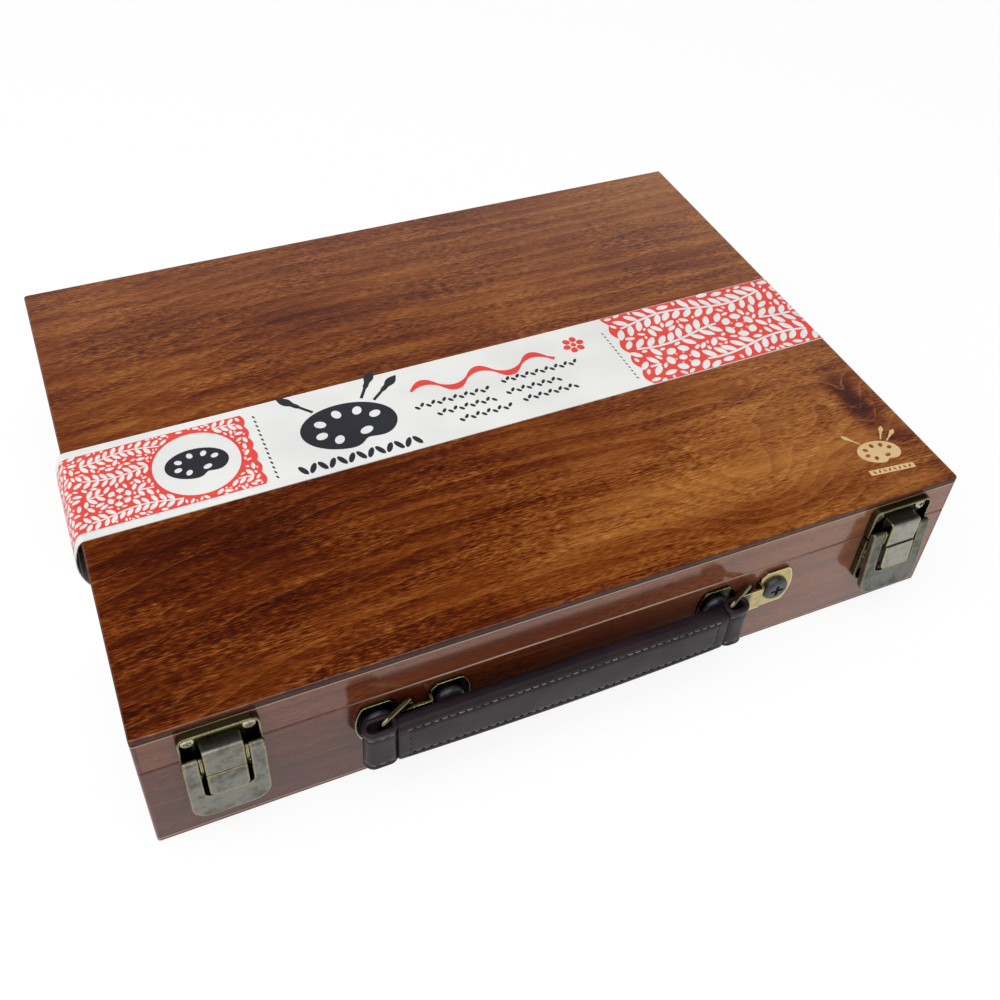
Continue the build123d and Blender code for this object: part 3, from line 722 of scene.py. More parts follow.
@dataclass
class Stitching:
    """Rows of stitches along paths, each a short thread that dips into the leather at both ends."""
    material: Material
    pitch: float
    stitch_l: float = 3.0 * MM
    thread_r: float = 0.38 * MM

    def rows(self, name: str, paths: Sequence[Sequence[Vector]]) -> Piece:
        """Sew along paths.

        Args:
            name: the piece's name.
            paths: points of each path, in order.

        Returns:
            One plain mesh with every stitch.
        """
        points, edges = [], []
        for path in paths:
            edges += [(len(points) + spot, len(points) + spot + 1) for spot in range(len(path) - 1)]
            points += path
        tree = GeometryTree("stitch_row")
        path = tree.out("GeometryNodeMeshToCurve", {0: tree.start})
        cut = tree.out("GeometryNodeResampleCurve", {"Curve": path, "Length": self.pitch}, mode="LENGTH")
        bead = tree.out("GeometryNodeMeshUVSphere", {"Segments": 8, "Rings": 8, "Radius": 1.0})
        form = (self.thread_r, self.thread_r, self.stitch_l / 2)
        shaped = tree.out("GeometryNodeTransform", {"Geometry": bead, "Scale": form})
        tangent = tree.out("GeometryNodeInputTangent")
        turned = tree.out("FunctionNodeAlignRotationToVector", {"Vector": tangent}, axis="Z")
        laid = tree.out("GeometryNodeInstanceOnPoints",
                        {"Points": cut, "Instance": shaped, "Rotation": turned})
        return tree.run(link(name, mesh_of(name, points, edges)), laid, self.material)


@dataclass
class Case:
    """The boards, panels, partitions and palette of the box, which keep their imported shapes."""
    margin: float = 0.1 * MM

    def dress(self) -> None:
        """Give every board and panel its veneer, and the inside pieces plain wood."""
        low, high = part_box("long_divider")
        hollow = Hollow(high[0] + self.margin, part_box("left_cross_divider")[1][1] + self.margin,
                        low[2] - self.margin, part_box("palette")[1][2] + self.margin)
        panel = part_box("lid_top_panel")[0][2]
        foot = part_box("base_bottom_panel")[1][2]
        # The lid and the front boards are painted lighter towards the right, and the lid also towards the
        # back: painted light.
        lid = Veneer("lid_veneer", Grain.LID, ring_tilt=-0.2, ring_gap=0.011, line_share=(0.2, 0.66),
                     eyes=LID_EYES, base_level=0.43, painted_light_right=0.29, painted_light_back=0.1, seam_levels=(panel,),
                     has_rim=True)
        side = Veneer("side_veneer", Grain.SIDE, contrast=0.5, base_level=0.34, ring_gap=0.02,
                      seam_levels=(panel, foot))
        # The front boards get a painted reflection of the floor, paler towards the right.
        front = replace(side, name="front_veneer", grain=Grain.FRONT, painted_light_right=0.28, painted_sheen=(0.01, 0.17),
                        worn_glint_top=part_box("base_front_board")[1][2])
        lid_front = replace(front, name="lid_front_veneer", base_level=0.47, painted_light_right=0.2,
                            painted_sheen=(0.045, 0.14), worn_glint_top=0.0)
        finishes = {
            lid: ("lid_top_panel",),
            front: ("base_front_board", "base_back_board"),
            lid_front: ("lid_front_board", "lid_back_board"),
            side: ("base_left_board", "base_right_board", "lid_left_board", "lid_right_board"),
            Veneer("bottom_veneer", Grain.LID, seam_levels=(foot,)): ("base_bottom_panel",),
        }
        for finish, names in finishes.items():
            dress(names, finish.material(hollow))
        dress(("long_divider", "palette"), PlainWood("plain_wood_across").material())
        dress(("left_cross_divider", "right_cross_divider", "palette_cleats"),
              PlainWood("plain_wood_along", along_y=True).material())


@dataclass
class Fittings:
    """The metal of the latches, hinges, turn buttons, brackets and rings."""
    aged: Metal = Metal("aged_brass", tone(126, 125, 116), tone(56, 52, 40), tone(172, 158, 108), 0.28,
                        wear_radius=1.9 * MM, wear=0.7, blotch=0.6)
    # The keeper plate's dish is darkened nearly to black in its hollows: painted shade as well as patina.
    keeper: Metal = Metal("keeper_brass", tone(92, 86, 62), tone(10, 10, 9), tone(206, 192, 138), 0.26,
                          wear_radius=1.2 * MM, hollow=9.0 * MM, hollow_patina_and_shade=1.0)
    # The brackets' hollows are darkened nearly to black: painted shade as well as patina.
    dark: Metal = Metal("dark_brass", tone(62, 58, 40), tone(14, 13, 9), tone(244, 234, 170), 0.2,
                        wear_radius=1.0 * MM, wear=1.0, blotch=0.2, hollow_patina_and_shade=0.95,
                        bright=tone(184, 168, 116))
    bronze: Metal = Metal("bronze_wire", tone(126, 119, 90), tone(40, 36, 28), tone(200, 192, 156), 0.1,
                          wear=0.0, hollow_patina_and_shade=0.5)
    steel: Metal = Metal("dull_steel", tone(150, 148, 140), tone(80, 76, 70), tone(190, 188, 180), 0.34)
    pale: Metal = Metal("pale_steel", tone(228, 220, 190), tone(70, 62, 40), tone(250, 246, 230), 0.2,
                        hollow=1.2 * MM, wear_radius=0.2 * MM)
    black: Lacquer = Lacquer("black_lacquer", tone(30, 30, 34))

    def dress(self) -> None:
        """Give each fitting its metal."""
        def both(*parts: str) -> list[str]:
            """Names of parts on both sides."""
            return [f"{side}_{part}" for side in SIDES for part in parts]

        # Lit and shaded copies of the aged brass: the right latch's hook and tongue are painted lighter,
        # painted light, and its frame darker, painted shade.
        rubbed = replace(self.aged, name="painted_light_brass", face=tone(150, 148, 138), patina=tone(74, 70, 56),
                         worn=tone(188, 176, 128), roughness=0.26, blotch=0.5)
        painted_shade_copy = replace(self.aged, name="painted_shade_brass", face=tone(106, 107, 100), patina=tone(50, 48, 38),
                         worn=tone(160, 148, 102), roughness=0.3)
        # The right bracket's outer half is painted lighter than the rest: painted light where it catches the
        # light.
        low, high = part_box("right_bracket")
        bracket = replace(self.dark, bright_from=(low[0] + high[0]) / 2)
        aged = ("keeper_hook", "lever_frame", "lever_tongue",
                "hinge_base_leaf", "hinge_lid_leaf", "turn_button")
        dress(both(*aged), self.aged.material())
        dress(("right_keeper_hook", "right_lever_tongue"), rubbed.material())
        dress(("right_lever_frame",), painted_shade_copy.material())
        dress(both("keeper_plate", "base_plate"), self.keeper.material())
        dress(both("bracket"), bracket.material())
        dress(both("ring"), self.bronze.material())
        dress(both("lever_pin", "hinge_pin"), self.steel.material())
        dress(("keeper_screws", "base_plate_screws", "turn_button_screws", "base_hinge_screws",
               "lid_hinge_screws"), self.pale.material())
        dress(("bracket_screws",), self.black.material())


@dataclass(frozen=True)
class Block:
    """A box between two corners."""
    low: Vector
    high: Vector

    @property
    def middle(self) -> Vector:
        """Its middle."""
        return (self.low + self.high) / 2

    @property
    def half(self) -> Vector:
        """Half its size."""
        return (self.high - self.low) / 2


@dataclass
class LeatherGrip:
    """The sewn leather grip: a padded body between two upright loops that the rings pass through."""
    top_inset: float = 3.1 * MM
    low_inset: float = 4.7 * MM
    end_inset: float = 5.6 * MM
    seam_depth: float = 0.6 * MM
    seam_half_w: float = 0.8 * MM
    thread_out: float = 0.25 * MM
    pucker: float = 0.4 * MM
    crown: float = 0.3 * MM
    sag: float = 2.4 * MM
    ring_step: float = 0.55 * MM
    round_end: float = 1.5 * MM
    corner: float = 3.6 * MM
    wall: float = 2.6 * MM
    rim: float = 1.2 * MM
    waist: float = 0.35 * MM
    loop_rise: float = 3.0 * MM
    loop_inset: float = 4.2 * MM
    loop_foot: float = 2.9 * MM
    overlap: float = 1.2 * MM
    pitch: float = 3.9 * MM
    longer: float = 3.0 * MM

    def section(self, half_t: float, half_h: float) -> list[Point2]:
        """Points round a rounded rectangle, from the back over the top to the front, closest on its faces.

        Args:
            half_t: half its thickness, along the first coordinate.
            half_h: half its height.

        Returns:
            The points.
        """
        points: list[Point2] = []
        corners = ((-1, 1, 180, 5), (1, 1, 90, 22), (1, -1, 0, 5), (-1, -1, -90, 22))
        for side_t, side_h, start, steps in corners:
            centre = (side_t * (half_t - self.corner), side_h * (half_h - self.corner))
            *arc, first = (around(centre, self.corner, start - 15 * step) for step in range(7))
            upright = side_t == side_h
            goal = (first[0], -first[1]) if upright else (-first[0], first[1])
            sides = [(lerp(first[0], goal[0], step / steps), lerp(first[1], goal[1], step / steps))
                     for step in range(steps)]
            points += arc + sides
        return points

    def levels(self, cover: Block) -> Point2:
        """Heights of the upper and the lower row of stitches, from the middle of the cover."""
        return cover.half.z - self.top_inset, self.low_inset - cover.half.z

    def hang(self, x: float, h: float, cover: Block) -> float:
        """How far the grip hangs down at an X, for a point at a height from the middle."""
        across = (x - cover.middle.x) / cover.half.x
        return self.sag * (1 - across * across) * (cover.half.z - h) / (2 * cover.half.z)

    def body_rings(self, cover: Block) -> list[list[Vector]]:
        """Rings of the body from left to right, with its seams pressed in and its ends rounded over."""
        half_t, half_h = cover.half.y, cover.half.z
        top, foot = self.levels(cover)
        outline = self.section(half_t, half_h)
        rings = []
        for x in spots(cover.low.x, cover.high.x, round(2 * cover.half.x / self.ring_step)):
            off_end = max(min(x - cover.low.x, cover.high.x - x), 0.0)
            share = min(off_end / self.round_end, 1.0)
            shrink = 1.0 - (1.0 - math.sqrt(1.0 - (1.0 - share) ** 2)) * 0.3
            squash = lerp(0.965, 1.0, min(share + 0.2, 1))
            wave = 0.5 - 0.5 * math.cos(2 * math.pi * (x - cover.low.x - self.end_inset) / self.pitch)
            sewn = off_end > self.end_inset - MM
            depth = (self.seam_depth + self.pucker * wave) * (1.0 if sewn else 0.25)
            end_seam = hill(off_end - self.end_inset, self.seam_half_w) * self.seam_depth
            ring = []
            for t, h in outline:
                press = max(hill(h - level, self.seam_half_w) for level in (top, foot)) * depth
                if foot < h < top:
                    press = max(press, end_seam)
                crown = self.crown * (1 - (1 - (abs(h) / half_h) ** 2) * sewn)
                y = t - math.copysign((press + crown) * min(abs(t) / half_t, 1.0) ** 4, t)
                z = cover.middle.z + h * squash - self.hang(x, h, cover)
                ring.append(Vector((x, cover.middle.y + y * shrink, z)))
            rings.append(ring)
        return rings

    def seam_paths(self, cover: Block, shift: float = 0.0, drop: float = 0.0) -> list[list[Vector]]:
        """The long sewn rows on the front and back of the body, moved right by a shift and down by a drop."""
        left, right = cover.low.x + self.end_inset, cover.high.x - self.end_inset
        row = [x + shift for x in spots(left, right, 60)]
        paths = []
        for face in (-1, 1):
            y = cover.middle.y + face * (cover.half.y - self.seam_depth - self.thread_out)
            for h in self.levels(cover):
                z = cover.middle.z + h - drop
                paths.append([Vector((x, y, z - self.hang(x, h, cover))) for x in row])
        return paths

    def end_paths(self, cover: Block) -> list[list[Vector]]:
        """The short upright rows at the ends of the body, front and back."""
        top, foot = self.levels(cover)
        paths = []
        for face in (-1, 1):
            y = cover.middle.y + face * (cover.half.y - self.seam_depth - self.thread_out)
            for x in (cover.low.x + self.end_inset, cover.high.x - self.end_inset):
                paths.append([Vector((x, y, cover.middle.z + foot + 2 * MM)),
                              Vector((x, y, cover.middle.z + top - 2 * MM))])
        return paths

    def loop_outline(self, loop: Block, grow: float, count: int = 12) -> list[Point2]:
        """Points round an upright loop: two half circles joined by straights, grown by an amount."""
        straight = loop.half.x - loop.half.y
        return [around((loop.middle.x + side * straight, loop.middle.y), loop.half.y + grow,
                       start + 180 * step / count)
                for side, start in ((1, -90), (-1, 90)) for step in range(count + 1)]

    def loop_seams(self, loop: Block) -> Point2:
        """Heights of the two rows of stitches round a loop."""
        return loop.low.z + self.loop_foot, loop.high.z - self.loop_inset

    def build_loop(self, name: str, loop: Block, leather: Material) -> Piece:
        """Make one loop: a leather wall with soft rims, open from top to bottom.

        Args:
            name: the piece's name.
            loop: the space it fills.
            leather: its finish.

        Returns:
            The loop.
        """
        levels = spots(loop.low.z + self.rim, loop.high.z - self.rim, 26)

        def pressed(z: float) -> float:
            """How far the wall is drawn in at a height."""
            rows = sum(hill(z - seam, self.seam_half_w) for seam in self.loop_seams(loop))
            waist = 1 - ((z - loop.middle.z) / loop.half.z) ** 2
            return self.seam_depth * 0.8 * rows + self.waist * waist

        def rim(level: float, start: float) -> list[Point2]:
            """Points of a rounded rim at a height, from one face of the wall to the other."""
            angles = [math.radians(start + 22.5 * step) for step in range(1, 8)]
            return [(self.wall / 2 * (math.cos(angle) - 1), level + self.rim * math.sin(angle))
                    for angle in angles]

        profile = [(-pressed(z), z) for z in levels] + rim(levels[-1], 0)
        profile += [(0.1 * MM - self.wall, z) for z in reversed(levels[::6])] + rim(levels[0], 180)
        points = [(x, y, z) for grow, z in profile for x, y in self.loop_outline(loop, grow)]
        faces = grid(len(profile), len(points) // len(profile), closed=True)
        return build_mesh(name, points, faces, leather)

    def loop_paths(self, loop: Block, outer: int) -> list[list[Vector]]:
        """Two rows of stitches round the free end of a loop."""
        def out_of(point: Point2) -> float:
            """How far a point lies towards the free end."""
            return (point[0] - loop.middle.x) * outer

        outline = self.loop_outline(loop, -self.seam_depth * 0.8 - self.thread_out, 24)
        shown = [point for point in outline if out_of(point) > -loop.half.x * 0.55]
        shown.sort(key=lambda point: math.atan2(point[1] - loop.middle.y, out_of(point)))
        return [[Vector((x, y, z)) for x, y in shown] for z in self.loop_seams(loop)]

    def build_body(self, cover: Block, leather: Material) -> Piece:
        """Make the padded body: its rings skinned, and both its ends closed with a fan."""
        rings = self.body_rings(cover)
        count = len(rings[0])
        points = [point for ring in rings for point in ring]
        faces = grid(len(rings), count)
        for ring, first, turn in ((rings[0], 0, 1), (rings[-1], (len(rings) - 1) * count, -1)):
            middle = len(points)
            faces += [(middle, first + (spot + 1) % count, first + spot)[::turn] for spot in range(count)]
            points.append(sum(ring, Vector()) / count)
        return build_mesh("grip_body", points, faces, leather)

    def build(self) -> None:
        """Make the grip, its loops and its stitches."""
        leather = Leather("grip_leather").material()
        sewing = Stitching(Thread("grip_thread").material(), self.pitch)
        # Near-black beads at the needle holes between the stitches: painted shade in the holes.
        hole = Thread("needle_hole_shade", tone(14, 10, 12), tone(8, 6, 8))
        holes = Stitching(hole.material(), self.pitch, 1.7 * MM, 0.58 * MM)
        cover = Block(*(Vector(corner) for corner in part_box("grip_cover")))
        cover.high.x += self.longer
        body = self.build_body(cover, leather)
        settle(body, "grip", ("grip_cover",))
        settle(sewing.rows("grip_stitches", self.seam_paths(cover)), "grip")
        pierced = self.seam_paths(cover, self.pitch / 2, 0.55 * MM) + self.end_paths(cover)
        settle(holes.rows("grip_needle_hole_shade", pierced), "grip")
        low, high = (Vector(corner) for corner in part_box("grip_strap"))
        high.z += self.loop_rise
        spans = {"left": (low.x, cover.low.x + self.overlap, -1),
                 "right": (cover.high.x - self.overlap, high.x, 1)}
        for side, (x_low, x_high, outer) in spans.items():
            loop = Block(Vector((x_low, low.y, low.z)), Vector((x_high, high.y, high.z)))
            wall = self.build_loop(f"{side}_grip_loop", loop, leather)
            settle(wall, "grip", ("grip_strap",))
            stitches = sewing.rows(f"{side}_loop_stitches", self.loop_paths(loop, outer))
            settle(stitches, "grip")


class Ink:
    """Flat shapes in one ink, drawn in the plane and filled, with holes where outlines lie in outlines."""

    def __init__(self, name: str, material: Material) -> None:
        """Start a piece of this name in this ink, with no shapes."""
        self.name = name
        self.material = material
        self.outlines: list[list[Point2]] = []

    def ellipse(self, x: float, y: float, half_x: float, half_y: float, turn: float = 0.0,
                count: int = 28) -> None:
        """Add an ellipse round a middle, turned by an angle in degrees."""
        cos, sin = around((0.0, 0.0), 1.0, turn)
        outline = []
        for step in range(count):
            angle = 2 * math.pi * step / count
            px, py = half_x * math.cos(angle), half_y * math.sin(angle)
            outline.append((x + px * cos - py * sin, y + px * sin + py * cos))
        self.outlines.append(outline)

    def stroke(self, path: Sequence[Point2], width: Callable[[float], float]) -> None:
        """Add a ribbon along a path whose width changes from its start, 0, to its end, 1."""
        left, right = [], []
        last = len(path) - 1
        for spot, (x, y) in enumerate(path):
            ahead, behind = path[min(spot + 1, last)], path[max(spot - 1, 0)]
            share = width(spot / last) / 2 / math.dist(ahead, behind)
            dx, dy = (ahead[0] - behind[0]) * share, (ahead[1] - behind[1]) * share
            left.append((x - dy, y + dx))
            right.append((x + dy, y - dx))
        self.outlines.append(left + right[::-1])

    def palette(self, x: float, y: float, size: float, brushes: bool = True) -> None:
        """Draw a painter's palette with its thumb hole and dabs, and perhaps brushes behind it.

        Args:
            x: its middle.
            y: its middle.
            size: half its width.
            brushes: whether brushes stand out behind it.
        """
        outline = []
        for step in range(64):
            angle = 2 * math.pi * step / 64
            swell = 1.0 + 0.05 * math.cos(2 * angle + 0.6) - 0.26 * hill(math.degrees(angle) - 292, 16)
            outline.append((x + size * swell * math.cos(angle), y + size * 0.72 * swell * math.sin(angle)))
        self.outlines.append(outline)
        self.ellipse(x + 0.3 * size, y - 0.27 * size, 0.15 * size, 0.1 * size, 20)
        for angle, reach in ((20, 0.66), (62, 0.62), (105, 0.62), (150, 0.66), (196, 0.66), (238, 0.6)):
            right, up = around((0.0, 0.0), reach * size, angle)
            self.ellipse(x + right, y + 0.68 * up, 0.13 * size, 0.1 * size, angle)

        def width(share: float) -> float:
            """Width of a brush: handle, ferrule and pointed hair."""
            if share < 0.6:
                return size * (0.07 if share < 0.42 else 0.12)
            return size * (0.02 + 0.2 * math.sin(math.pi * (1.0 - share) / 0.5))

        for lean, foot_x in ((40, 0.74), (58, 0.5), (132, -0.6)) if brushes else ():
            foot = (x + foot_x * size, y + 0.74 * size * math.sqrt(1 - foot_x * foot_x) + 0.06 * size)
            self.stroke([around(foot, 0.066 * size * step, lean) for step in range(15)], width)

    def flat(self) -> Piece:
        """Fill the outlines and give them as one flat mesh object."""
        curve = bpy.data.curves.new(self.name, "CURVE")
        curve.dimensions = "2D"
        curve.fill_mode = "BOTH"
        for outline in self.outlines:
            spline = curve.splines.new("POLY")
            spline.points.add(len(outline) - 1)
            for point, (x, y) in zip(spline.points, outline):
                point.co = (x, y, 0.0, 1.0)
            spline.use_cyclic_u = True
        shape = link(self.name + "_outline", curve)
        mesh = as_mesh(shape)
        bpy.data.objects.remove(shape)
        mesh.materials.clear()
        mesh.materials.append(self.material)
        face_up(mesh)
        return link(self.name, mesh)


def face_up(mesh: bpy.types.Mesh) -> None:
    """Turn the faces of a flat mesh so that they all look along +Z."""
    if sum(face.normal.z for face in mesh.polygons) < 0:
        mesh.flip_normals()


def print_leaves(name: str, leaves: Sequence[Leaf], material: Material) -> Piece:
    """Draw pointed leaves flat; each is its middle, turn in degrees, half length and half width."""
    mesh = mesh_of(name, [(leaf[0], leaf[1], 0.0) for leaf in leaves])
    for key, values in (("turn", [math.radians(leaf[2]) for leaf in leaves]),
                        ("long", [leaf[3] for leaf in leaves]), ("wide", [leaf[4] for leaf in leaves])):
        mesh.attributes.new(key, "FLOAT", "POINT").data.foreach_set("value", values)
    tree = GeometryTree("print_leaves")
    fan = tree.out("GeometryNodeMeshCircle", {"Vertices": 14, "Radius": 1.0}, fill_type="TRIANGLE_FAN")
    disc = tree.out("GeometryNodeSubdivideMesh", {0: fan, "Level": 1})
    split = tree.node("ShaderNodeSeparateXYZ", {0: tree.out("GeometryNodeInputPosition")}).outputs
    sharp = tree.sums("POWER", tree.sums("ABSOLUTE", split[1]), 1.35)
    across = tree.product(sharp, tree.sums("SIGN", split[1]))
    pointed = tree.out("ShaderNodeCombineXYZ", {0: split[0], 1: across})
    leaf_form = tree.out("GeometryNodeSetPosition", {"Geometry": disc, "Position": pointed})
    turn, long, wide = (tree.out("GeometryNodeInputNamedAttribute", {"Name": key}, data_type="FLOAT")
                        for key in ("turn", "long", "wide"))
    rotation = tree.out("FunctionNodeEulerToRotation", {0: tree.out("ShaderNodeCombineXYZ", {2: turn})})
    scale = tree.out("ShaderNodeCombineXYZ", {0: long, 1: wide, 2: 1.0})
    laid = tree.out("GeometryNodeInstanceOnPoints",
                    {"Points": tree.start, "Instance": leaf_form, "Rotation": rotation, "Scale": scale})
    piece = tree.run(link(name, mesh), laid, material)
    face_up(piece.data)
    return piece


@dataclass
class BandPath:
    """The line that the card follows across the box, by its length: 0 is above the middle of the lid.

    It goes from its left end to its right one, both at the level `z_end`, over the lid or under the base.
    """
    half_w: float
    top: float
    bottom: float
    bulge_x: float
    z_end: float
    upper: bool
    slack_h: float = 31.0 * MM
    bend: float = 2.6 * MM
    lengths: list[float] = field(default_factory=list)
    places: list[Point2] = field(default_factory=list)

    def __post_init__(self) -> None:
        """Trace the line."""
        deck = self.top if self.upper else self.bottom
        level_in = deck + (-self.bend if self.upper else self.bend)
        flat_w = self.half_w - self.bend
        line = [(self.left_x(z), z) for z in spots(self.z_end, level_in, 24)]
        line += self.blend(line[-1], (self.left_x(deck), deck), (-flat_w, deck))
        line += [(x, deck) for x in spots(-flat_w, flat_w, 60)]
        line += self.blend(line[-1], (self.half_w, deck), (self.half_w, level_in))
        line += [(self.half_w, z) for z in spots(level_in, self.z_end, 12)]
        self.places, self.lengths = [line[0]], [0.0]
        for point in line[1:]:
            step = math.dist(point, self.places[-1])
            if step > 0.02 * MM:
                self.places.append(point)
                self.lengths.append(self.lengths[-1] + step)
        middle = next(s + abs(x) for s, (x, z) in zip(self.lengths, self.places)
                      if z == deck and -0.19 < x <= 0)
        self.lengths = [s - middle for s in self.lengths]

    def left_x(self, z: float) -> float:
        """X of the left side at a height: along the box below, and a slack arc under the lid's edge."""
        half = self.slack_h / 2
        off = z - self.top + half
        if abs(off) >= half:
            return -self.half_w
        rise = -self.half_w - self.bulge_x
        radius = (half * half + rise * rise) / (2 * rise)
        return self.bulge_x + radius - math.sqrt(radius * radius - off * off)

    def blend(self, start: Point2, corner: Point2, end: Point2) -> list[Point2]:
        """Points of a smooth bend that starts and ends along the two sides of a corner."""
        return [tuple((1 - t) ** 2 * a + 2 * t * (1 - t) * b + t * t * c
                      for a, b, c in zip(start, corner, end)) for t in spots(0, 1, 8)[1:-1]]

    def at(self, s: float, lift: float) -> Point2:
        """X and Z at a length along the line, lifted off it outwards."""
        s = min(max(s, self.lengths[0]), self.lengths[-1])
        spot = min(bisect_right(self.lengths, s), len(self.lengths) - 1) - 1
        s0, s1 = self.lengths[spot:spot + 2]
        (x0, z0), (x1, z1) = self.places[spot:spot + 2]
        share = (s - s0) / (s1 - s0)
        out = (lift if self.upper else -lift) / (s1 - s0)
        return lerp(x0, x1, share) - (z1 - z0) * out, lerp(z0, z1, share) + (x1 - x0) * out


@dataclass(frozen=True)
class Patch:
    """A patch of coral ink along the band, from a plain end to one that may be scalloped.

    `clear` is the middle and radius of a round white field in it, and `grow` the size of its motifs.
    """
    name: str
    start: float
    end: float
    low: float
    high: float
    grow: float
    scallop: float = 0.0
    waves: float = 0.0
    clear: Disc | None = None

    def far(self, share: float) -> float:
        """Where the far end lies, a share of the way from front to back."""
        return self.end + self.scallop * abs(math.sin(math.pi * self.waves * share))

    def ground(self, material: Material) -> Piece:
        """The patch as a fine flat grid."""
        ends = [self.far(share) for share in spots(0, 1, 60)]
        columns = max(2, round(abs(max(ends) - self.start) / (0.7 * MM)))
        points = [(x, y, 0) for end, y in zip(ends, spots(self.low, self.high, 60))
                  for x in spots(self.start, end, columns)]
        turn = -1 if min(ends) < self.start else 1
        faces = [face[::turn] for face in grid(len(ends), columns + 1, ring=False)]
        return build_mesh(f"{self.name}_ground", points, faces, material, smooth=False)


class Lace:
    """Leafy print that fills a patch closely: florets, leafy garlands, and single leaves in what is left."""

    def __init__(self, patch: Patch, bend_at: float, rng: random.Random) -> None:
        """Fill a patch.

        Args:
            patch: the patch.
            bend_at: length at which the band bends; no stem crosses it.
            rng: the random draws.
        """
        self.patch = patch
        self.left, self.right = sorted((patch.start, patch.far(0.5)))
        self.bend_at = bend_at
        self.rng = rng
        self.unit = MM * patch.grow
        self.lanes = max(2, round((patch.high - patch.low) / (18.5 * self.unit)))
        self.leaves: list[Leaf] = []
        self.stems: list[list[Point2]] = []
        self.taken: list[Disc] = []
        self.florets: list[Point2] = []
        self.add_florets()
        for lane in range(self.lanes):
            self.add_garland(lane)
        self.add_single_leaves()

    def keeps(self, x: float, y: float, room: float) -> bool:
        """Whether a print of this size stays on the patch and out of the white field."""
        patch, clear = self.patch, self.patch.clear
        end_room = room + 0.5 * MM
        if not (self.left + end_room < x < self.right - end_room
                and patch.low + room * 0.7 < y < patch.high - room * 0.7):
            return False
        return clear is None or math.dist((x, y), clear[:2]) > clear[2] + room * 0.8 + 1.2 * MM

    def put(self, x: float, y: float, turn: float, long: float, wide: float) -> None:
        """Print a leaf if all the discs that cover it have room."""
        cover = [(*around((x, y), step * long, turn), wide * size)
                 for step, size in ((-0.74, 0.45), (-0.35, 0.85), (0.1, 0.9), (0.5, 0.7), (0.8, 0.4))]
        gap = 0.6 * self.unit
        if not all(self.keeps(*disc) for disc in cover):
            return
        if any(math.dist(a[:2], b[:2]) < a[2] + b[2] + gap for a in cover for b in self.taken):
            return
        self.leaves.append((x, y, turn, long, wide))
        self.taken += cover

    def add_florets(self) -> None:
        """Print florets of six petals, in a zigzag along the patch."""
        unit = self.unit
        count = max(1, round((self.right - self.left) / (37 * unit)))
        for number in range(count):
            x = lerp(self.left, self.right, (number + 0.62) / count)
            across = (0.5 + number % self.lanes) / self.lanes + (0.06, -0.05)[number % 2]
            y = lerp(self.patch.low, self.patch.high, across)
            if not self.keeps(x, y, 6.5 * unit):
                continue
            for petal in range(6):
                turn = 60 * petal + 17 * number
                self.put(*around((x, y), 6.6 * unit, turn), turn + 90, 2.9 * unit, 2.1 * unit)
                self.leaves.append((*around((x, y), 3.7 * unit, turn), 0, 0.5 * unit, 0.5 * unit))
            self.leaves.append((x, y, 0, 2.2 * unit, 1.8 * unit))
            self.taken.append((x, y, 4.4 * unit))
            self.florets.append((x, y))

    def add_garland(self, lane: int) -> None:
        """Print a waving stem with pairs of leaves along a lane, wherever it is clear."""
        unit, rng = self.unit, self.rng
        base = lerp(self.patch.low, self.patch.high, (lane + 0.5) / self.lanes)
        steps = round((self.right - self.left) / (5.6 * unit))
        line = [(x, base + 2.6 * unit * math.sin(x / (11 * unit) + 2.1 * lane))
                for x in spots(self.left, self.right, steps)]
        run: list[Point2] = []
        for step in range(1, steps):
            x, y = line[step]
            before, after = line[step - 1], line[step + 1]
            slope = math.degrees(math.atan2(after[1] - before[1], after[0] - before[0]))
            clear = (self.keeps(x, y, unit) and abs(abs(x) - self.bend_at) > 4 * MM
                     and all(math.dist((x, y), floret) > 10.2 * unit for floret in self.florets))
            if clear:
                self.taken.append((x, y, 0.1 * unit))
                for side in (-1, 1):
                    turn = slope + (0 if lane % 2 else 180) + side * rng.uniform(46, 56)
                    long = rng.uniform(3.5, 4.0) * unit
                    wide = long * rng.uniform(0.42, 0.47)
                    self.put(*around((x, y), long + 0.9 * unit, turn), turn, long, wide)
                run.append((x, y))
            if not clear or step == steps - 1:
                if len(run) > 1:
                    self.stems.append(run)
                run = []

    def add_single_leaves(self) -> None:
        """Print single leaves, large ones first, wherever the florets and garlands leave room."""
        unit, patch, rng = self.unit, self.patch, self.rng
        for stem in self.stems:
            for a, b in zip(stem, stem[1:]):
                self.taken += [(lerp(a[0], b[0], share), lerp(a[1], b[1], share), 0.6 * unit)
                               for share in (0.0, 0.33, 0.67, 1.0)]
        for size, tries in ((3.3, 800), (2.6, 1000), (2.0, 1200), (1.5, 1400), (1.1, 1400)):
            slim = 0.46 if size > 1.5 else 0.62
            for _ in range(tries):
                self.put(rng.uniform(self.left, self.right), rng.uniform(patch.low, patch.high),
                         rng.uniform(0, 360), size * unit, size * unit * slim)


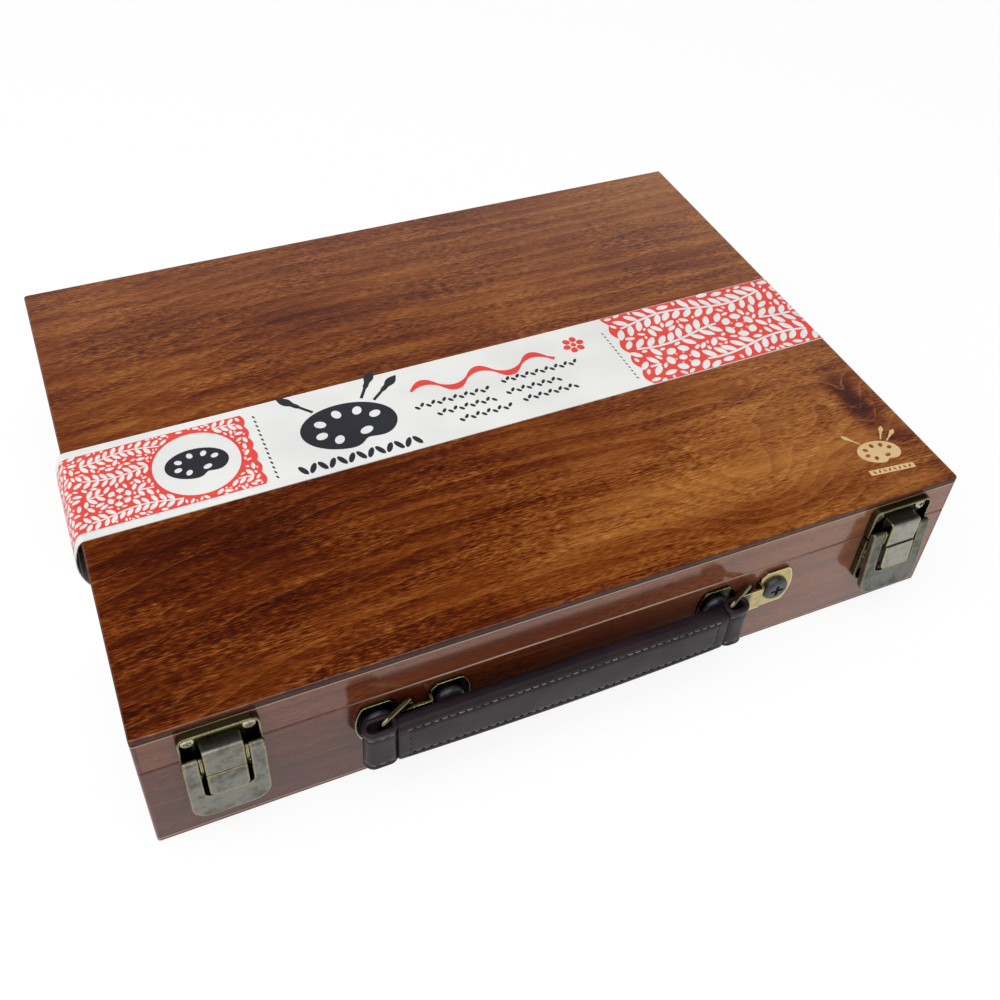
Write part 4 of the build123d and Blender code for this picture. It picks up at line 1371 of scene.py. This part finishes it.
@dataclass
class CardBand:
    """The printed card band round the box, parted at the seam so that the lid can open."""
    skew: float = 0.0145
    ink_lift: float = 0.05 * MM
    leaf_lift: float = 0.09 * MM
    seal_lift: float = 0.14 * MM
    margin: float = 4.6 * MM
    edge_margin: float = 0.3 * MM
    seed: int = 7
    lace_grow: float = 0.66
    stem_w: float = 1.3 * MM
    lower_l: float = 36.0 * MM
    columns: int = 16
    card: Card = Card("white_card", tone(238, 238, 235), tone(226, 226, 224))
    coral: Card = Card("coral_ink", tone(233, 72, 62), tone(226, 64, 56), 0.42)
    white: Card = Card("white_print", tone(236, 236, 233), tone(228, 228, 226))
    dark: Card = Card("dark_ink", tone(34, 34, 46), tone(28, 28, 38), 0.45)

    def shape(self, path: BandPath, flat: Iterable[Sequence[float]], lift: float) -> list[Vector]:
        """Wrap flat points, whose X is the length along the band, onto the band's line.

        Args:
            path: the line.
            flat: the points.
            lift: how far they stand off the card's outside.

        Returns:
            The wrapped points.
        """
        wrapped = []
        for s, y, _ in flat:
            x, z = path.at(s, lift)
            wrapped.append(Vector((x, y + self.skew * max(-path.half_w, min(path.half_w, s)), z)))
        return wrapped

    def build_card(self, name: str, path: BandPath, edges: Point2, thickness: float,
                   material: Material) -> Piece:
        """Make one part of the card.

        Args:
            name: the piece's name.
            path: the line it follows.
            edges: Y of its front and back edges.
            thickness: how thick the card is.
            material: its finish.

        Returns:
            The card, closed all round.
        """
        flat = [Vector((s, y, 0)) for s in path.lengths for y in spots(*edges, self.columns)]
        points = self.shape(path, flat, 0.0) + self.shape(path, flat, -thickness)
        under, count, rows = len(flat), self.columns + 1, len(path.lengths)
        faces = []
        for a, b, d, c in grid(rows, count, ring=False):
            faces += [(a, c, d, b), (under + a, under + b, under + d, under + c)]
        rims = [(row * count + col, (row + 1) * count + col, turn)
                for row in range(rows - 1) for col, turn in ((0, 1), (self.columns, -1))]
        rims += [(row * count + col, row * count + col + 1, turn)
                 for row, turn in ((0, -1), (rows - 1, 1)) for col in range(self.columns)]
        faces += [(a, under + a, under + b, b)[::turn] for a, b, turn in rims]
        if not path.upper:
            faces = [face[::-1] for face in faces]
        return build_mesh(name, points, faces, material, smooth=False)

    def lay(self, piece: Piece, path: BandPath, lift: float) -> None:
        """Bend a flat print onto the card and fix it to the card's body."""
        flat = [tuple(vertex.co) for vertex in piece.data.vertices]
        for vertex, place in zip(piece.data.vertices, self.shape(path, flat, lift)):
            vertex.co = place
        if not path.upper:
            piece.data.flip_normals()
        piece.data.update()
        settle(piece, "lid" if path.upper else "base")

    def print_patch(self, patch: Patch, path: BandPath, coral: Material, white: Material) -> None:
        """Print one coral patch with its white sprigs.

        Args:
            patch: the patch.
            path: the line it follows.
            coral: the ink of its ground.
            white: the ink of its sprigs.
        """
        self.lay(patch.ground(coral), path, self.ink_lift)
        lace = Lace(patch, path.half_w - 0.6 * MM, random.Random(self.seed + len(patch.name)))
        self.lay(print_leaves(f"{patch.name}_leaves", lace.leaves, white), path, self.leaf_lift)
        lines = Ink(f"{patch.name}_stems", white)
        for stem in lace.stems:
            lines.stroke(stem, lambda share: self.stem_w * patch.grow)
        if patch.clear is not None:
            x, y, radius = patch.clear
            lines.ellipse(x, y, radius, radius, count=72)
        self.lay(lines.flat(), path, self.leaf_lift)

    def print_middle(self, path: BandPath, seal: Disc, coral_ink: Material, dark_ink: Material) -> None:
        """Print the plain middle and the seal.

        There are palettes, a coral brush stroke with a flower, and small garlands.

        Args:
            path: the line of the upper card.
            seal: middle and radius of the seal's white field.
            coral_ink: the coral ink.
            dark_ink: the dark ink.
        """
        dark = Ink("band_dark_print", dark_ink)
        dark.palette(-0.066, -0.0105, 0.0235)
        for step, x in enumerate(spots(-0.096, -0.038, 12)):
            dark.ellipse(x, -0.0325, 3.5 * MM, 1.45 * MM, 62 if step % 2 else -62, 18)
        for left, right, y in ((-0.03, 0.012, -0.0105), (0.019, 0.064, -0.0075), (-0.021, 0.012, -0.0185),
                               (0.018, 0.05, -0.0165), (-0.012, 0.018, -0.0265), (0.024, 0.056, -0.0245)):
            steps = round((right - left) / (2.9 * MM))
            for step, x in enumerate(spots(left, right, steps)[:-1]):
                up = 1 if step % 2 else -1
                dark.ellipse(x, y + up * 0.8 * MM, 1.7 * MM, 0.9 * MM, 50 * up, 12)
        for step in range(14):
            dark.ellipse(-0.1085, lerp(-0.032, 0.012, step / 13), 0.5 * MM, 1.1 * MM, 25, 10)
            x = 0.0865 - 0.06 * MM * step
            dark.ellipse(x, lerp(-0.031, 0.008, step / 13), 0.4 * MM, 0.9 * MM, 25, 10)
        coral = Ink("band_coral_print", coral_ink)
        turns = 5.2 * math.pi
        coral.stroke([(x, 1.5 * MM + 4.4 * MM * math.sin(step / 60 * turns))
                      for step, x in enumerate(spots(-0.029, 0.052, 60))],
                     lambda share: (1.5 + 3.0 * abs(math.sin(turns * share)) ** 1.5) * MM)
        flower = (0.0665, 0.0055)
        for turn in range(12, 372, 60):
            coral.ellipse(*around(flower, 4.3 * MM, turn), 2.2 * MM, 1.9 * MM, turn, 20)
        coral.ellipse(*flower, 1.6 * MM, 1.6 * MM, count=16)
        mark = Ink("band_seal_print", dark_ink)
        mark.palette(seal[0], seal[1], 14.5 * MM, brushes=False)
        for ink, lift in ((dark, self.ink_lift), (coral, self.ink_lift), (mark, self.seal_lift)):
            self.lay(ink.flat(), path, lift)

    def build(self) -> None:
        """Make both parts of the card and print them."""
        low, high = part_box("sleeve_upper")
        lower_low, lower_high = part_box("sleeve_lower")
        thickness = high[0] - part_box("lid_top_panel")[1][0]
        upper = BandPath(high[0], high[2], lower_low[2], low[0], z_end=low[2], upper=True)
        lower = BandPath(high[0], high[2], lower_low[2], low[0], z_end=lower_high[2], upper=False)
        edges = (low[1], high[1])
        card, coral, white, dark = (ink.material() for ink in (self.card, self.coral, self.white, self.dark))
        settle(self.build_card("card_upper", upper, edges, thickness, card), "lid",
               ("sleeve_upper",))
        settle(self.build_card("card_lower", lower, edges, thickness, card), "base",
               ("sleeve_lower",))
        inner = (edges[0] + self.margin, edges[1] - self.margin)
        outer = (edges[0] + self.edge_margin, edges[1] - self.edge_margin)
        seal = (-0.1415, sum(inner) / 2, 20.8 * MM)
        ends = (lower.lengths[0], lower.lengths[-1])
        patches = (
            (Patch("left_lace", upper.lengths[0] + MM, -0.1145, *inner,
                   self.lace_grow, 1.3 * MM, 6, seal), upper),
            (Patch("right_lace", upper.lengths[-1] - MM, 0.0925, *outer, 1.15, -2.6 * MM, 4.5), upper),
            (Patch("left_lower_lace", ends[0] + 0.5 * MM, ends[0] + self.lower_l,
                   *inner, self.lace_grow), lower),
            (Patch("right_lower_lace", ends[1] - 0.5 * MM, ends[1] - self.lower_l, *outer, 1.0), lower),
        )
        for patch, path in patches:
            self.print_patch(patch, path, coral, white)
        self.print_middle(upper, seal, coral, dark)


@dataclass
class LidEmblem:
    """A small palette printed in pale ink near the lid's front right corner, over a bar with leaf holes."""
    x: float = 0.1735
    y: float = -0.1215
    turn: float = -0.1
    size: float = 11.0 * MM
    bar_y: float = -12.5 * MM
    lift: float = 0.04 * MM
    ink: Card = Card("pale_ink", tone(224, 192, 142), tone(206, 172, 120), 0.5)

    def build(self) -> None:
        """Draw the emblem on the lid."""
        shape = Ink("lid_emblem", self.ink.material())
        shape.palette(0.0, 0.0, self.size)
        shape.stroke([(-12.5 * MM, self.bar_y), (12.5 * MM, self.bar_y)], lambda share: 3.4 * MM)
        for step, x in enumerate(spots(-9.8 * MM, 9.8 * MM, 7)):
            shape.ellipse(x, self.bar_y, 1.1 * MM, 0.55 * MM, 62 if step % 2 else -62, 10)
        piece = shape.flat()
        place = Vector((self.x, self.y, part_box("lid_top_panel")[1][2] + self.lift))
        piece.data.transform(Matrix.Translation(place) @ Matrix.Rotation(self.turn, 4, "Z"))
        settle(piece, "lid")


@dataclass
class Studio:
    """The pale floor, the soft lights, the surrounding white and the camera of the photograph."""
    camera_place: tuple[float, ...] = (-0.184550, -0.420910, 0.478230)
    right: tuple[float, ...] = (0.91731239, -0.39559581, 0.04518772)
    up: tuple[float, ...] = (0.24085175, 0.64166828, 0.72818422)
    back: tuple[float, ...] = (-0.31706215, -0.65708887, 0.68389021)
    lens: float = 42.23
    sensor: float = 36.0
    shift: Point2 = (0.00652, -0.07464)
    floor_half_w: float = 4.0
    floor_glow: float = 1.03
    floor_glow_share: float = 0.86
    even_light: float = 0.42
    gloss_light: float = 0.85

    def set_camera(self) -> None:
        """Stand the camera where the photograph was taken from."""
        data = bpy.data.cameras.new("photo_camera")
        data.lens = self.lens
        data.sensor_width = self.sensor
        data.shift_x, data.shift_y = self.shift
        data.clip_start = 0.01
        camera = link("photo_camera", data)
        turn = Matrix((self.right, self.up, self.back)).transposed().to_4x4()
        camera.matrix_world = Matrix.Translation(self.camera_place) @ turn
        bpy.context.scene.camera = camera

    def light(self, name: str, place: Vector, size: float, power: float) -> None:
        """Hang a square soft light that looks at the box."""
        data = bpy.data.lights.new(name, "AREA")
        data.size = size
        data.energy = power
        aim = Vector((0.0, 0.0, 0.04)) - place
        turn = aim.to_track_quat("-Z", "Y").to_matrix().to_4x4()
        link(name, data).matrix_world = Matrix.Translation(place) @ turn

    def set_world(self) -> None:
        """White all round for the camera, and a plain dim room above for gloss and diffuse light."""
        world = bpy.data.worlds.new("studio_world")
        bpy.context.scene.world = world
        world.use_nodes = True
        tree = Tree(world.node_tree)

        def shine(strength: Value) -> Socket:
            """A white background of a strength."""
            return tree.out("ShaderNodeBackground", {"Color": WHITE, "Strength": strength})

        way = tree.node("ShaderNodeTexCoord").outputs["Generated"]
        height = tree.node("ShaderNodeSeparateXYZ", {0: way}).outputs["Z"]
        room = shine(tree.spread(height, 0.44, 0.74, self.gloss_light, 0.0))
        ray = tree.node("ShaderNodeLightPath").outputs
        shiny = tree.sums("MAXIMUM", ray["Is Glossy Ray"], ray["Is Transmission Ray"])
        lit = tree.out("ShaderNodeMixShader", {0: shiny, 1: shine(self.even_light), 2: room})
        seen = tree.out("ShaderNodeMixShader", {0: ray["Is Camera Ray"], 1: lit, 2: shine(1.0)})
        tree.node("ShaderNodeOutputWorld", {0: seen})

    def set_floor(self) -> None:
        """Lay a floor that shows nearly white and keeps the object's shadow."""
        sheet = Sheet("pale_floor")
        paper = sheet.out("ShaderNodeBsdfDiffuse", {"Color": (0.9, 0.9, 0.9, 1.0)})
        glow = sheet.out("ShaderNodeEmission", {"Color": WHITE, "Strength": self.floor_glow})
        ray = sheet.node("ShaderNodeLightPath").outputs
        seen = sheet.sums("MAXIMUM", ray["Is Camera Ray"],
                          sheet.sums("MAXIMUM", ray["Is Glossy Ray"], ray["Is Transmission Ray"]))
        share = sheet.product(seen, self.floor_glow_share)
        sheet.node("ShaderNodeOutputMaterial",
                   {"Surface": sheet.out("ShaderNodeMixShader", {0: share, 1: paper, 2: glow})})
        half = self.floor_half_w
        corners = [(-half, -half, 0), (half, -half, 0), (half, half, 0), (-half, half, 0)]
        floor = build_mesh("floor", corners, [(0, 1, 2, 3)], sheet.material, smooth=False)

    def build(self) -> None:
        """Set the whole studio."""
        bpy.context.scene.view_settings.view_transform = "Standard"
        self.set_camera()
        self.set_world()
        self.set_floor()
        self.light("overhead", Vector((-0.3, -0.45, 1.5)), 1.6, 17.0)
        self.light("left", Vector((-1.5, 0.1, 1.1)), 1.0, 6.0)


def main() -> None:
    """Build the parts of the box and the studio in order."""
    logging.basicConfig(level=logging.INFO, format="%(message)s")
    Studio().build()
    Case().dress()
    Fittings().dress()
    LeatherGrip().build()
    CardBand().build()
    LidEmblem().build()


if __name__ == "__main__":
    main()
